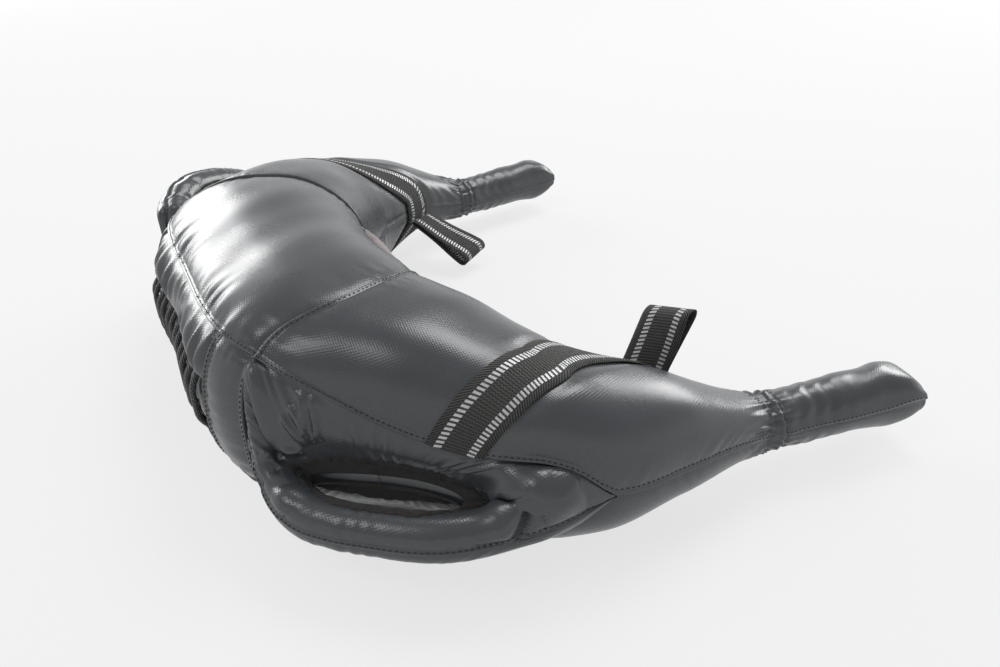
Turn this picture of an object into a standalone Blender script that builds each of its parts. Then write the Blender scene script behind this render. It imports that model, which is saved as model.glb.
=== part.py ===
"""Crescent sandbag trainer in metres: +Z up, horns towards -Y, left is -X.

The body is one stuffed crescent. Each cover panel is a stretch of the same swept
surface. A place on it is a share, from 0 at the middle plane to 1 at a neck and
negative on the left, and an angle round the section, from 0 at the outer side
over the top to 180 degrees at the inner side.
"""

import math

import bpy
import numpy as np
from mathutils import Vector

# Main sizes of the crescent
HORN_HALF_WIDTH = 0.270
HORN_DEPTH = 0.309
BODY_WIDTH = 0.180
BODY_HEIGHT = 0.170
FOOTPRINT_SHIFT = 0.1859
SECTION_POWER = 2.4

# Distance share, then X as a share of the horn span and Y as a share of the horn depth
CENTRELINE_SHARES = [
    [0.00, 0.000, 0.025],
    [0.22, 0.365, 0.078],
    [0.44, 0.681, 0.252],
    [0.60, 0.856, 0.427],
    [0.795, 0.967, 0.696],
    [1.00, 1.000, 1.000],
]

# Distance share, then inner and outer reach as shares of half the body width,
# and the heights of the middle, top and bottom as shares of the body height
SECTION_SHARES = [
    [0.00, 1.14, 0.93, 0.50, 1.00, -0.03],
    [0.26, 1.10, 1.03, 0.46, 0.99, -0.03],
    [0.35, 1.05, 0.80, 0.43, 0.96, -0.03],
    [0.44, 0.99, 0.66, 0.41, 0.92, -0.03],
    [0.53, 0.89, 0.64, 0.39, 0.85, -0.025],
    [0.60, 0.80, 0.62, 0.385, 0.79, -0.015],
    [0.69, 0.68, 0.625, 0.37, 0.72, 0.04],
    [0.795, 0.52, 0.48, 0.36, 0.64, 0.13],
    [0.88, 0.385, 0.36, 0.33, 0.53, 0.15],
    [0.95, 0.30, 0.29, 0.285, 0.44, 0.14],
    [1.00, 0.267, 0.267, 0.259, 0.40, 0.118],
]

# Distance share, then the heights of the upper and lower outer seams
SEAM_SHARES = [
    [0.00, 0.840, 0.18],
    [0.20, 0.840, 0.18],
    [0.25, 0.820, 0.18],
    [0.30, 0.765, 0.18],
    [0.35, 0.690, 0.185],
    [0.43, 0.592, 0.19],
    [0.50, 0.545, 0.20],
    [0.57, 0.533, 0.21],
    [0.61, 0.522, 0.22],
    [0.64, 0.485, 0.25],
    [0.67, 0.410, 0.32],
    [0.69, 0.360, 0.36],
]

# Distance share, then the outer seam of the side handle: reach and height
HANDLE_SHARES = [
    [0.25, 1.04, 0.46],
    [0.30, 1.24, 0.33],
    [0.344, 1.33, 0.30],
    [0.39, 1.325, 0.30],
    [0.432, 1.28, 0.30],
    [0.475, 1.235, 0.30],
    [0.513, 1.165, 0.30],
    [0.549, 1.05, 0.30],
    [0.58, 0.93, 0.30],
    [0.63, 0.755, 0.32],
    [0.69, 0.625, 0.37],
]

# Where the panels meet, as shares of the half body and as angles
CROSS_SEAM_SHARE = 0.250
CROSS_SEAM_BOW_SHARE = 0.052
CROSS_SEAM_BOW_START = math.radians(40.0)
CROSS_SEAM_BOW_END = math.radians(166.0)
CROSS_SEAM_BOW_FADE_SHARE = 0.20
OPENING_END_SHARE = 0.18
GUSSET_TIP_SHARE = 0.69
GUSSET_END_SHARE = 0.672
TIP_WADDING_SHARE = 0.73
INNER_SEAM_ANGLE = math.radians(180.0)
NECK_PAD_HALF_ANGLE = math.radians(24.0)
NECK_PAD_BULGE_DEPTH = 0.016
NECK_PAD_FADE_SHARE = 0.09
FLAP_EDGE_ANGLE = math.radians(15.0)

# Covers and the gaps between them
COVER_THICKNESS = 0.0012
SEAM_GAP = 0.0006
WING_EDGE_GAP = 0.0014
NECK_CUT_LENGTH = 0.014

# Side handle and its hand slot
HANDLE_DIAMETER = 0.032
HANDLE_CORE_DIAMETER = 0.0238
HANDLE_WRAP_ANGLE = math.radians(155.0)
SLOT_HEIGHT = 0.060
SLOT_WALL_HEIGHT = 0.012
SLOT_WALL_OFFSET = 0.001
SLOT_CENTRE_SHARE = 0.417
SLOT_HALF_SHARE = 0.096
SLOT_INNER_SHARE = 0.35
SLOT_OUTER_SHARE = 0.50
HANDLE_START_SHARE = 0.292
HANDLE_END_SHARE = 0.53
WING_FADE_SHARE = 0.075
HANDLE_FADE_SHARE = 0.07
CORE_START_SHARE = 0.322
CORE_END_SHARE = 0.500

# The pull of the slot up at its two ends, of the handle outwards, and its fold upwards
HANDLE_POSES = {
    "left": (0.0, 0.0, 0.0, 0.0),
    "right": (0.045, 0.018, 0.008, math.radians(62.0)),
}
BINDING_WIDTH = 0.007
BINDING_THICKNESS = 0.0016
BINDING_GAP = 0.0014
SLOT_WALL_TRIM = 0.0008

# Back lace, in the opening between the two back flaps
LACE_DIAMETER = 0.006
LACE_STROKES = 12
LACE_TURN_ANGLE = math.radians(19.0)
LACE_HALF_LENGTH_SHARE = 0.165
LACE_PROUD_HEIGHT = 0.002
LACE_GAP = 0.0010
TONGUE_HALF_ANGLE = math.radians(28.0)
TONGUE_END_SHARE = 0.174

# Webbing straps and their loops
WEBBING_WIDTH = 0.038
WEBBING_THICKNESS = 0.0016
WEBBING_GAP = 0.0020
STRAP_CLEAR_START_SHARE = 0.36
STRAP_CLEAR_RAMP_SHARE = 0.05
STRAP_END_GAP = math.radians(2.0)
STRAP_END_LIMIT = math.radians(60.0)
LOOP_BASE_ANGLE = math.radians(188.0)
LOOP_LENGTH = 0.078
LOOP_ROOT_RADIUS = 0.0024
LOOP_TIP_RADIUS = 0.0080
LOOP_GAP = 0.0018
LOOP_SHIFT_WIDTH = {"left": -0.0065, "right": 0.0}
LOOP_LEAN = {"left": math.radians(19.0), "right": math.radians(4.0)}
LOOP_TWIST = {"left": math.radians(34.0), "right": math.radians(-15.0)}
LOOP_RISE = {"left": math.radians(20.0), "right": math.radians(109.0)}

# Angle from the outer side over the top, then the strap's distance share
STRAP_PATH_SHARES = [
    [math.radians(-15.0), 0.462],
    [math.radians(15.0), 0.4975],
    [math.radians(47.0), 0.537],
    [math.radians(82.0), 0.587],
    [math.radians(105.0), 0.642],
    [math.radians(122.0), 0.700],
    [math.radians(138.0), 0.752],
    [math.radians(152.0), 0.788],
    [math.radians(180.0), 0.808],
]

# Grips
GRIP_LENGTH = 0.145
GRIP_DIAMETER = 0.047
GRIP_END_SHARE = 0.985
GRIP_CORE_END_SHARE = 0.93
GRIP_BALL_RADIUS = 0.0228
GRIP_BALL_GAP = 0.0005
GRIP_BALL_ANGLE = math.radians(52.0)
GRIP_CUP_ANGLES = (math.radians(40.0), math.radians(82.0))
GRIP_TURN = math.radians(3.5)
GRIP_PATCH_THICKNESS = 0.0015
GRIP_PATCH_GAP = 0.0003
GRIP_CORE_GAP = 0.0006

# Distance share of the grip, then half width and half height as shares of its radius
GRIP_SHARES = [
    [0.06, 0.975, 0.975],
    [0.20, 0.98, 0.99],
    [0.45, 1.00, 1.02],
    [0.68, 1.03, 1.08],
    [0.82, 1.04, 1.06],
    [0.93, 1.00, 0.80],
    [1.00, 0.94, 0.42],
]

# Distance shares of the grip's rings
GRIP_RING_SHARES = (0.06, 0.2, 0.4, 0.6, 0.75, 0.85, 0.93, GRIP_END_SHARE)

# Stuffing
WADDING_GAP = 0.0024
WADDING_SPLIT_GAP = 0.0010
POCKET_DEPTH = 0.0078
POCKET_ANGLE = math.radians(36.0)
POCKET_FADE_ANGLE = math.radians(7.0)
POCKET_END_SHARE = 0.235
POCKET_FADE_SHARE = 0.03
GUSSET_POCKET_DEPTH = 0.009
GUSSET_POCKET_ANGLE = math.radians(55.0)
GUSSET_POCKET_START_SHARE = 0.215
POUCH_SCALE_SHARE = 0.40
POUCH_GAP = 0.0010

# First and last of the stuffing's sections that each sand pouch reaches, from the middle
POUCH_SECTIONS = {"centre": (-4, 4), "left": (-11, -5), "right": (5, 11)}
STUFFING_HALF_SECTIONS = 14

STEP = 0.002
SIDES = {"left": -1, "right": 1}

# Colours, roughness
LEATHER = ("leather", (0.045, 0.048, 0.052), 0.42)
NECK_LEATHER = ("neck_leather", (0.22, 0.16, 0.155), 0.6)
WEBBING = ("webbing", (0.012, 0.012, 0.012), 0.85)
BINDING = ("binding_tape", (0.018, 0.014, 0.011), 0.9)
LACING = ("lace_braid", (0.010, 0.010, 0.010), 0.8)
WADDING = ("wadding", (0.62, 0.60, 0.56), 0.95)
POUCH = ("sand_pouch", (0.50, 0.44, 0.34), 0.9)
CORE = ("foam_core", (0.20, 0.20, 0.21), 0.9)


def clear_scene():
    """Remove every object of the open file."""
    for item in list(bpy.data.objects):
        bpy.data.objects.remove(item, do_unlink=True)


def make_material(name, colour, roughness):
    """One Principled material."""
    material = bpy.data.materials.new(name)
    material.use_nodes = True
    shader = material.node_tree.nodes["Principled BSDF"]
    shader.inputs["Base Color"].default_value = (*colour, 1.0)
    shader.inputs["Roughness"].default_value = roughness
    material.diffuse_color = (*colour, 1.0)
    return material


def whole_table(rows, odd_columns=()):
    """A table over both halves of the body, from its right half."""
    flip = np.ones(len(rows[0]))
    flip[0] = -1.0
    for column in odd_columns:
        flip[column] = -1.0
    left = [np.array(row) * flip for row in reversed(rows[1:])]
    return np.array(left + [np.array(row) for row in rows])


def along(table, key):
    """Smooth values between the rows of a table, whose first column is the key."""
    keys = table[:, 0]
    values = table[:, 1:]
    slopes = np.gradient(values, keys, axis=0)
    row = int(min(max(np.searchsorted(keys, key) - 1, 0), len(keys) - 2))
    step = keys[row + 1] - keys[row]
    t = (key - keys[row]) / step
    start = values[row] * (2 * t**3 - 3 * t**2 + 1) + slopes[row] * step * (t**3 - 2 * t**2 + t)
    end = values[row + 1] * (3 * t**2 - 2 * t**3) + slopes[row + 1] * step * (t**3 - t**2)
    return start + end


CENTRELINE = whole_table(CENTRELINE_SHARES, odd_columns=[1])
SECTIONS = whole_table(SECTION_SHARES)
SEAMS = np.array(SEAM_SHARES)
STRAP_PATH = np.array(STRAP_PATH_SHARES)
HANDLE = np.array(HANDLE_SHARES)


def ramp(value):
    """Smooth step from 0 to 1."""
    t = min(max(value, 0.0), 1.0)
    return t * t * (3.0 - 2.0 * t)


def centre(share):
    """Plan place of a section's centre."""
    x, y = along(CENTRELINE, share)
    return np.array([x * HORN_HALF_WIDTH, FOOTPRINT_SHIFT - y * HORN_DEPTH, 0.0])


def heading(share):
    """Unit vector along the centreline, towards the right horn."""
    step = centre(share + STEP) - centre(share - STEP)
    return step / np.linalg.norm(step)


def outward(share):
    """Unit vector from the centreline to the outer side."""
    forward = heading(share)
    return np.array([-forward[1], forward[0], 0.0])


def half_length():
    """Length of the centreline from the middle plane to a neck."""
    shares = np.linspace(0.0, 1.0, 41)
    points = np.array([centre(share) for share in shares])
    return float(np.linalg.norm(np.diff(points, axis=0), axis=1).sum())


HALF_LENGTH = half_length()


def section(share):
    """Inner and outer reach, and the heights of middle, top and bottom."""
    inner, outer, middle, top, bottom = along(SECTIONS, share)
    half_width = BODY_WIDTH / 2
    heights = np.array([middle, top, bottom]) * BODY_HEIGHT
    return inner * half_width, outer * half_width, *heights


def place(share, reach, height):
    """The point of a section at a reach from its centre and a height."""
    point = centre(share) + outward(share) * reach
    point[2] = height
    return point


def floor_height(share):
    """The body's underside clears the webbing where the straps pass below it."""
    lift = WEBBING_THICKNESS + WEBBING_GAP
    return lift * ramp((abs(share) - STRAP_CLEAR_START_SHARE) / STRAP_CLEAR_RAMP_SHARE)


def body_profile(share, angle, depth=0.0):
    """Reach and height of the body's surface, or of a layer at a depth below it."""
    inner, outer, middle, top, bottom = section(share)
    cosine = math.cos(angle)
    sine = math.sin(angle)
    reach = outer if cosine > 0 else inner
    rise = top - middle if sine > 0 else middle - bottom
    curve = 2.0 / SECTION_POWER
    across = math.copysign(abs(cosine) ** curve, cosine)
    up = math.copysign(abs(sine) ** curve, sine)
    normal = np.array(
        [
            math.copysign(abs(cosine) ** (2.0 - curve), cosine) / reach,
            math.copysign(abs(sine) ** (2.0 - curve), sine) / rise,
        ]
    )
    normal /= np.linalg.norm(normal)
    profile = np.array([reach * across, middle + rise * up]) - normal * depth
    profile[1] = max(profile[1], floor_height(share) + depth)
    return profile


def body_point(share, angle, depth=0.0):
    """A point on the body's surface, or at a depth below it."""
    reach, height = body_profile(share, angle, depth)
    return place(share, reach, height)


def seam_angle(share, lower=False):
    """Angle of the outer top seam, or of the outer bottom seam."""
    _, _, middle, top, bottom = section(share)
    upper_share, lower_share = along(SEAMS, min(abs(share), GUSSET_TIP_SHARE))
    if abs(share) >= GUSSET_TIP_SHARE:
        return 0.0
    if lower:
        level = (middle - lower_share * BODY_HEIGHT) / (middle - bottom)
    else:
        level = (upper_share * BODY_HEIGHT - middle) / (top - middle)
    level = min(max(level, 0.0), 1.0)
    angle = math.asin(level ** (SECTION_POWER / 2.0))
    return -angle if lower else angle


def height_angle(share, height):
    """Angle of the outer side at a height."""
    _, _, middle, top, bottom = section(share)
    rise = top - middle if height > middle else middle - bottom
    level = min(abs(height - middle) / rise, 1.0)
    return math.copysign(math.asin(level ** (SECTION_POWER / 2.0)), height - middle)


def edge_angle(share, gap):
    """The angle that a gap along the section takes."""
    inner, outer, _, _, _ = section(share)
    return gap / max(inner, outer)


def bowed(share, angle):
    """The cross seams bow towards the horns over the top of the body."""
    swing = (angle - CROSS_SEAM_BOW_START) / (CROSS_SEAM_BOW_END - CROSS_SEAM_BOW_START)
    bow = CROSS_SEAM_BOW_SHARE * math.sin(math.pi * min(max(swing, 0.0), 1.0)) ** 2
    near = ramp(1.0 - abs(abs(share) - CROSS_SEAM_SHARE) / CROSS_SEAM_BOW_FADE_SHARE)
    return share + math.copysign(bow * near, share)


def add_object(name, data, material, parts):
    """Put mesh or curve data into the collection, under its own name."""
    item = bpy.data.objects.new(name, data)
    item.data.materials.append(material)
    parts.objects.link(item)
    return item


def mesh_from_grid(name, grid, closed, flip, caps=False):
    """Quads between the rows of a grid, closed round each row if asked."""
    rows = len(grid)
    columns = len(grid[0])
    vertices = [tuple(point) for row in grid for point in row]
    faces = []
    for i in range(rows - 1):
        for j in range(columns if closed else columns - 1):
            k = (j + 1) % columns
            corners = [i * columns + j, i * columns + k, (i + 1) * columns + k, (i + 1) * columns + j]
            faces.append(corners[::-1] if flip else corners)
    if caps:
        first = list(range(columns))
        last = [(rows - 1) * columns + j for j in range(columns)]
        faces.append(first if flip else first[::-1])
        faces.append(last[::-1] if flip else last)
    mesh = bpy.data.meshes.new(name)
    mesh.from_pydata(vertices, [], faces)
    mesh.update()
    mesh.shade_smooth()
    mesh.set_sharp_from_angle(angle=math.radians(50.0))
    return mesh


def add_sheet(name, grid, material, parts, thickness=COVER_THICKNESS, closed=False, flip=False):
    """An open sheet through a grid of points, given its thickness."""
    item = add_object(name, mesh_from_grid(name, grid, closed, flip), material, parts)
    wall = item.modifiers.new("thickness", "SOLIDIFY")
    wall.thickness = thickness
    wall.offset = -1.0
    return item


def add_loft(name, sections, material, parts, flip=False):
    """A closed solid through closed sections, with flat ends."""
    mesh = mesh_from_grid(name, sections, True, flip, caps=True)
    return add_object(name, mesh, material, parts)


def spread(start, end, count):
    """Evenly spaced values, both ends included."""
    return [start + (end - start) * i / count for i in range(count + 1)]


def body_grid(shares, angles, depth=None):
    """Points of the body at the angles that belong to each share."""
    grid = []
    for share in shares:
        row = []
        for angle in angles(share):
            below = depth(share, angle) if depth else 0.0
            row.append(body_point(bowed(share, angle), angle, below))
        grid.append(row)
    return grid


def inset_shares(start, end, count):
    """Shares from one cross seam to the next, less half a seam gap at each end."""
    inset = SEAM_GAP / 2 / HALF_LENGTH
    return spread(start + inset, end - inset, count)


def top_angles(share):
    """Angles from the outer top seam to the neck pad."""
    gap = edge_angle(share, SEAM_GAP / 2)
    return spread(seam_angle(share) + gap, INNER_SEAM_ANGLE - NECK_PAD_HALF_ANGLE - gap, 8)


def bottom_angles(share):
    """Angles from the outer bottom seam to the neck pad."""
    gap = edge_angle(share, SEAM_GAP / 2)
    return spread(seam_angle(share, lower=True) - gap, NECK_PAD_HALF_ANGLE - INNER_SEAM_ANGLE + gap, 9)


def centre_panels(leather, neck_leather, parts):
    """The top and bottom panels between the cross seams, and the pad at the inner curve."""
    shares = inset_shares(-CROSS_SEAM_SHARE, CROSS_SEAM_SHARE, 12)
    top = body_grid(shares, top_angles)
    bottom = body_grid(shares, bottom_angles)
    add_sheet("centre_top_panel", top, leather, parts)
    add_sheet("centre_bottom_panel", bottom, leather, parts, flip=True)
    pad = []
    for share in shares:
        start = top_angles(share)[-1] + edge_angle(share, SEAM_GAP)
        end = 2 * INNER_SEAM_ANGLE - start
        fade = ramp((CROSS_SEAM_SHARE - abs(share)) / NECK_PAD_FADE_SHARE)
        ring = []
        for t in spread(0.0, 1.0, 6):
            bulge = NECK_PAD_BULGE_DEPTH * fade * math.sin(math.pi * t) ** 0.7
            ring.append(body_point(share, start + (end - start) * t, -bulge))
        ring += [body_point(share, end + (start - end) * t, COVER_THICKNESS) for t in spread(0.0, 1.0, 4)]
        pad.append(ring)
    add_loft("neck_pad", pad, neck_leather, parts)


def back_covers(leather, parts):
    """The two flaps that the lace draws together, and the plain panels beside them."""
    shares = inset_shares(-OPENING_END_SHARE, OPENING_END_SHARE, 8)

    def upper_angles(share):
        return spread(FLAP_EDGE_ANGLE, seam_angle(share) - edge_angle(share, SEAM_GAP / 2), 3)

    def lower_angles(share):
        seam = seam_angle(share, lower=True) + edge_angle(share, SEAM_GAP / 2)
        return spread(-FLAP_EDGE_ANGLE, seam, 3)

    def end_angles(share):
        return spread(lower_angles(share)[-1], upper_angles(share)[-1], 8)

    add_sheet("back_upper_flap", body_grid(shares, upper_angles), leather, parts)
    add_sheet("back_lower_flap", body_grid(shares, lower_angles), leather, parts, flip=True)
    for name, side in SIDES.items():
        ends = [side * share for share in inset_shares(OPENING_END_SHARE, CROSS_SEAM_SHARE, 2)]
        grid = body_grid(ends, end_angles)
        add_sheet("back_end_panel_" + name, grid, leather, parts, flip=side < 0)


def lace_depth(angle):
    """Depth of the lace's middle: under the flaps at its turns, proud between them."""
    hidden = COVER_THICKNESS + LACE_GAP + LACE_DIAMETER / 2
    t = ramp((FLAP_EDGE_ANGLE * 1.05 - abs(angle)) / (FLAP_EDGE_ANGLE * 0.8))
    return hidden + (-LACE_PROUD_HEIGHT - hidden) * t


def tongue_depth(share, angle):
    """The tongue lies under the lace and comes up to the flaps at its sewn edges."""
    under = lace_depth(angle) + LACE_DIAMETER / 2 + LACE_GAP
    rest = COVER_THICKNESS + 2 * LACE_GAP
    edge = ramp((abs(angle) - LACE_TURN_ANGLE * 1.18) / (TONGUE_HALF_ANGLE - LACE_TURN_ANGLE * 1.18))
    return under + (rest - under) * edge


def lace_and_tongue(leather, lacing, parts):
    """The lace that closes the back, to and fro between the flaps, over its tongue."""
    pitch = 2 * LACE_HALF_LENGTH_SHARE / LACE_STROKES
    turn = 0.35 * pitch
    turn_rise = turn * HALF_LENGTH / (BODY_WIDTH / 2)
    route = []
    for stroke in range(LACE_STROKES):
        upward = 1 if stroke % 2 == 0 else -1
        start = -LACE_HALF_LENGTH_SHARE + stroke * pitch + turn
        end = start + pitch - 2 * turn
        straight = LACE_TURN_ANGLE - turn_rise
        for t in spread(-1.0, 1.0, 6):
            share = start + (end - start) * (t + 1) / 2
            route.append((share, upward * straight * t))
        if stroke < LACE_STROKES - 1:
            corner = end + turn
            for bend in (45.0, 90.0, 135.0):
                swing = math.radians(bend)
                share = corner - turn * math.cos(swing)
                route.append((share, upward * (straight + turn_rise * math.sin(swing))))
    curve = bpy.data.curves.new("lace", "CURVE")
    curve.dimensions = "3D"
    curve.bevel_depth = LACE_DIAMETER / 2
    curve.bevel_resolution = 1
    curve.use_fill_caps = True
    spline = curve.splines.new("POLY")
    spline.points.add(len(route) - 1)
    for point, (share, angle) in zip(spline.points, route):
        point.co = (*body_point(share, angle, lace_depth(angle)), 1.0)
    add_object("lace", curve, lacing, parts)

    shares = spread(-TONGUE_END_SHARE, TONGUE_END_SHARE, 8)
    angles = spread(-TONGUE_HALF_ANGLE, TONGUE_HALF_ANGLE, 12)
    rows = body_grid(shares, lambda share: angles, tongue_depth)
    add_sheet("lace_tongue", rows, leather, parts)


def horn_panels(name, side, leather, parts):
    """The top and bottom panels of one horn, from the cross seam to the neck."""
    inset = SEAM_GAP / 2 / HALF_LENGTH
    last = 1.0 - NECK_CUT_LENGTH / HALF_LENGTH
    shares = spread(CROSS_SEAM_SHARE + inset, GUSSET_TIP_SHARE, 14)
    shares += spread(GUSSET_TIP_SHARE, last, 9)[1:]
    shares = [side * share for share in shares]

    def inner_angles(start, share):
        return spread(start, INNER_SEAM_ANGLE - edge_angle(share, SEAM_GAP / 2), 2)[1:]

    def upper_angles(share):
        angles = top_angles(share)
        return angles + inner_angles(angles[-1], share)

    def lower_angles(share):
        angles = bottom_angles(share)
        return angles + [-angle for angle in inner_angles(-angles[-1], share)]

    top = body_grid(shares, upper_angles)
    bottom = body_grid(shares, lower_angles)
    add_sheet("horn_top_panel_" + name, top, leather, parts, flip=side < 0)
    add_sheet("horn_bottom_panel_" + name, bottom, leather, parts, flip=side > 0)


def side_name(side):
    """The name of a side from its sign."""
    return "left" if side < 0 else "right"


def handle_pose(side, share):
    """Lift of the slot, pull and fold of the handle at a share, fading at the roots."""
    start, end, pull, fold = HANDLE_POSES[side_name(side)]
    t = (share - HANDLE_START_SHARE) / (HANDLE_END_SHARE - HANDLE_START_SHARE)
    lift = start + (end - start) * min(max(t, 0.0), 1.0)
    rising = ramp((share - CROSS_SEAM_SHARE) / (HANDLE_START_SHARE - CROSS_SEAM_SHARE))
    fade = rising * ramp((HANDLE_END_SHARE + HANDLE_FADE_SHARE - share) / HANDLE_FADE_SHARE)
    return lift * fade, pull * fade, fold * fade


def handle_section(side, share):
    """Slot height, fold, and the reach and height of the handle's middle."""
    lift, pull, fold = handle_pose(side, share)
    slot = SLOT_HEIGHT + lift
    reach_share, height_share = along(HANDLE, share)
    pivot = body_profile(share, height_angle(share, slot))
    reach = reach_share * BODY_WIDTH / 2 - HANDLE_DIAMETER / 2 + pull
    arm = np.array([reach, height_share * BODY_HEIGHT + lift]) - pivot
    turned = np.array(
        [
            arm[0] * math.cos(fold) - arm[1] * math.sin(fold),
            arm[0] * math.sin(fold) + arm[1] * math.cos(fold),
        ]
    )
    return slot, fold, pivot + turned


def wing_profile(side, share, across, lower=False):
    """Reach and height on a side handle panel, from the body seam to the outer seam."""
    slot, fold, middle = handle_section(side, share)
    radius = HANDLE_DIAMETER / 2
    sign = -1.0 if lower else 1.0
    edge = middle + radius * np.array([math.cos(fold), math.sin(fold)])
    seam_swing = seam_angle(share, lower) - sign * edge_angle(share, WING_EDGE_GAP)
    seam = body_profile(share, seam_swing)
    wall_swing = height_angle(share, slot + sign * SLOT_WALL_HEIGHT / 2)
    knots = [[0.0, *seam]]
    for t in (0.5, 1.0):
        swing = seam_swing + (wall_swing - seam_swing) * t
        knots.append([SLOT_INNER_SHARE * t, *body_profile(share, swing, -SLOT_WALL_OFFSET)])
    for t in spread(0.0, 1.0, 4):
        swing = fold + sign * HANDLE_WRAP_ANGLE * (1.0 - t)
        place_across = SLOT_OUTER_SHARE + (1.0 - SLOT_OUTER_SHARE) * t
        round_core = radius * np.array([math.cos(swing), math.sin(swing)])
        knots.append([place_across, *(middle + round_core)])
    slotted = along(np.array(knots), across)
    upper_seam = body_profile(share, seam_angle(share))
    lower_seam = body_profile(share, seam_angle(share, lower=True))
    edge[1] = min(edge[1], (upper_seam[1] + lower_seam[1]) / 2)
    quarter = across * math.pi / 2
    bulge = np.array(
        [
            seam[0] + (edge[0] - seam[0]) * math.sin(quarter) ** (2.0 / SECTION_POWER),
            edge[1] + (seam[1] - edge[1]) * math.cos(quarter) ** (2.0 / SECTION_POWER),
        ]
    )
    rising = ramp((share - CROSS_SEAM_SHARE) / (HANDLE_START_SHARE - CROSS_SEAM_SHARE))
    falling = ramp((HANDLE_END_SHARE + WING_FADE_SHARE - share) / WING_FADE_SHARE)
    weight = rising * falling
    return slotted * weight + bulge * (1.0 - weight)


def wing_point(side, share, across, lower=False):
    """A point on a side handle panel."""
    reach, height = wing_profile(side, share, across, lower)
    return place(side * share, reach, height)


def slot_oval(margin, count):
    """Shares and across shares round the hand slot, at a margin outside it."""
    middle = (SLOT_INNER_SHARE + SLOT_OUTER_SHARE) / 2
    half_across = (SLOT_OUTER_SHARE - SLOT_INNER_SHARE) / 2
    share_margin = margin / HALF_LENGTH
    across_margin = margin * (1.0 - SLOT_OUTER_SHARE) / (HANDLE_DIAMETER / 2 * HANDLE_WRAP_ANGLE)
    oval = []
    for i in range(count):
        swing = 2 * math.pi * i / count
        cosine = math.cos(swing)
        sine = math.sin(swing)
        oval.append(
            (
                SLOT_CENTRE_SHARE
                + (SLOT_HALF_SHARE + share_margin) * math.copysign(abs(cosine) ** 0.8, cosine),
                middle + (half_across + across_margin) * math.copysign(abs(sine) ** 0.8, sine),
            )
        )
    return oval


def panel_outline(count):
    """Shares and across shares round the edge of a side handle panel, matched to the oval."""
    share_inset = WING_EDGE_GAP / 2 / HALF_LENGTH
    seam_length = HANDLE_DIAMETER / 2 * HANDLE_WRAP_ANGLE
    across_inset = (1.0 - SLOT_OUTER_SHARE) * WING_EDGE_GAP / 2 / seam_length
    middle = (SLOT_INNER_SHARE + SLOT_OUTER_SHARE) / 2
    low = CROSS_SEAM_SHARE + share_inset
    high = GUSSET_END_SHARE
    outline = []
    for i in range(count):
        swing = 2 * math.pi * i / count
        cosine = math.cos(swing)
        sine = math.sin(swing)
        stretch = 1.0 / max(abs(cosine), abs(sine))
        u = cosine * stretch
        v = sine * stretch
        share = SLOT_CENTRE_SHARE + u * (high - SLOT_CENTRE_SHARE if u > 0 else SLOT_CENTRE_SHARE - low)
        across = middle + v * (1.0 - across_inset - middle if v > 0 else middle)
        outline.append((share, across))
    return outline


def side_handle(name, side, leather, binding, core, parts):
    """One side handle: two slotted panels, the slot's wall and tapes, and the core."""
    count = 32
    margin = BINDING_WIDTH + BINDING_GAP
    hole = slot_oval(margin, count)
    outline = panel_outline(count)
    for layer, lower in (("top", False), ("bottom", True)):
        rings = []
        for t in spread(0.0, 1.0, 5):
            ring = []
            for inside, outside in zip(hole, outline):
                share = inside[0] + (outside[0] - inside[0]) * t
                across = inside[1] + (outside[1] - inside[1]) * t
                ring.append(wing_point(side, share, across, lower))
            rings.append(ring)
        flip = (side > 0) != lower
        panel = "side_handle_" + layer + "_panel_" + name
        add_sheet(panel, rings, leather, parts, closed=True, flip=flip)
        tape = []
        for oval in (slot_oval(0.0, count), slot_oval(BINDING_WIDTH, count)):
            tape.append([wing_point(side, share, across, lower) for share, across in oval])
        tape_name = "slot_binding_" + layer + "_" + name
        add_sheet(
            tape_name, tape, binding, parts, thickness=BINDING_THICKNESS, closed=True, flip=flip
        )
    wall = []
    trim = (BINDING_THICKNESS + BINDING_GAP + SLOT_WALL_TRIM) / SLOT_WALL_HEIGHT
    for t in (trim, 1.0 - trim):
        ring = []
        for share, across in slot_oval(0.0, count):
            upper = wing_point(side, share, across)
            under = wing_point(side, share, across, lower=True)
            ring.append(upper + (under - upper) * t)
        wall.append(ring)
    add_sheet("slot_wall_" + name, wall, leather, parts, closed=True, flip=side < 0)
    curve = bpy.data.curves.new("side_handle_core_" + name, "CURVE")
    curve.dimensions = "3D"
    curve.bevel_depth = HANDLE_CORE_DIAMETER / 2
    curve.bevel_resolution = 2
    curve.use_fill_caps = True
    spline = curve.splines.new("POLY")
    shares = spread(CORE_START_SHARE, CORE_END_SHARE, 10)
    spline.points.add(len(shares) - 1)
    for point, share in zip(spline.points, shares):
        _, _, middle = handle_section(side, share)
        point.co = (*place(side * share, *middle), 1.0)
    add_object("side_handle_core_" + name, curve, core, parts)


def surface_frame(side, share, angle):
    """A place on the body, its slopes by share and by angle, and its outward normal."""
    point = body_point(side * share, angle)
    by_share = (body_point(side * (share + STEP), angle) - point) / STEP
    by_angle = (body_point(side * share, angle + STEP) - point) / STEP
    normal = np.cross(by_share, by_angle)
    core = place(side * share, 0.0, section(share)[2])
    if np.dot(normal, point - core) < 0:
        normal = -normal
    return point, by_share, by_angle, normal / np.linalg.norm(normal)


def strap_share(angle):
    """The strap's distance share at an angle, the same above and below."""
    return float(along(STRAP_PATH, math.pi - abs(math.pi - angle))[0])


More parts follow.
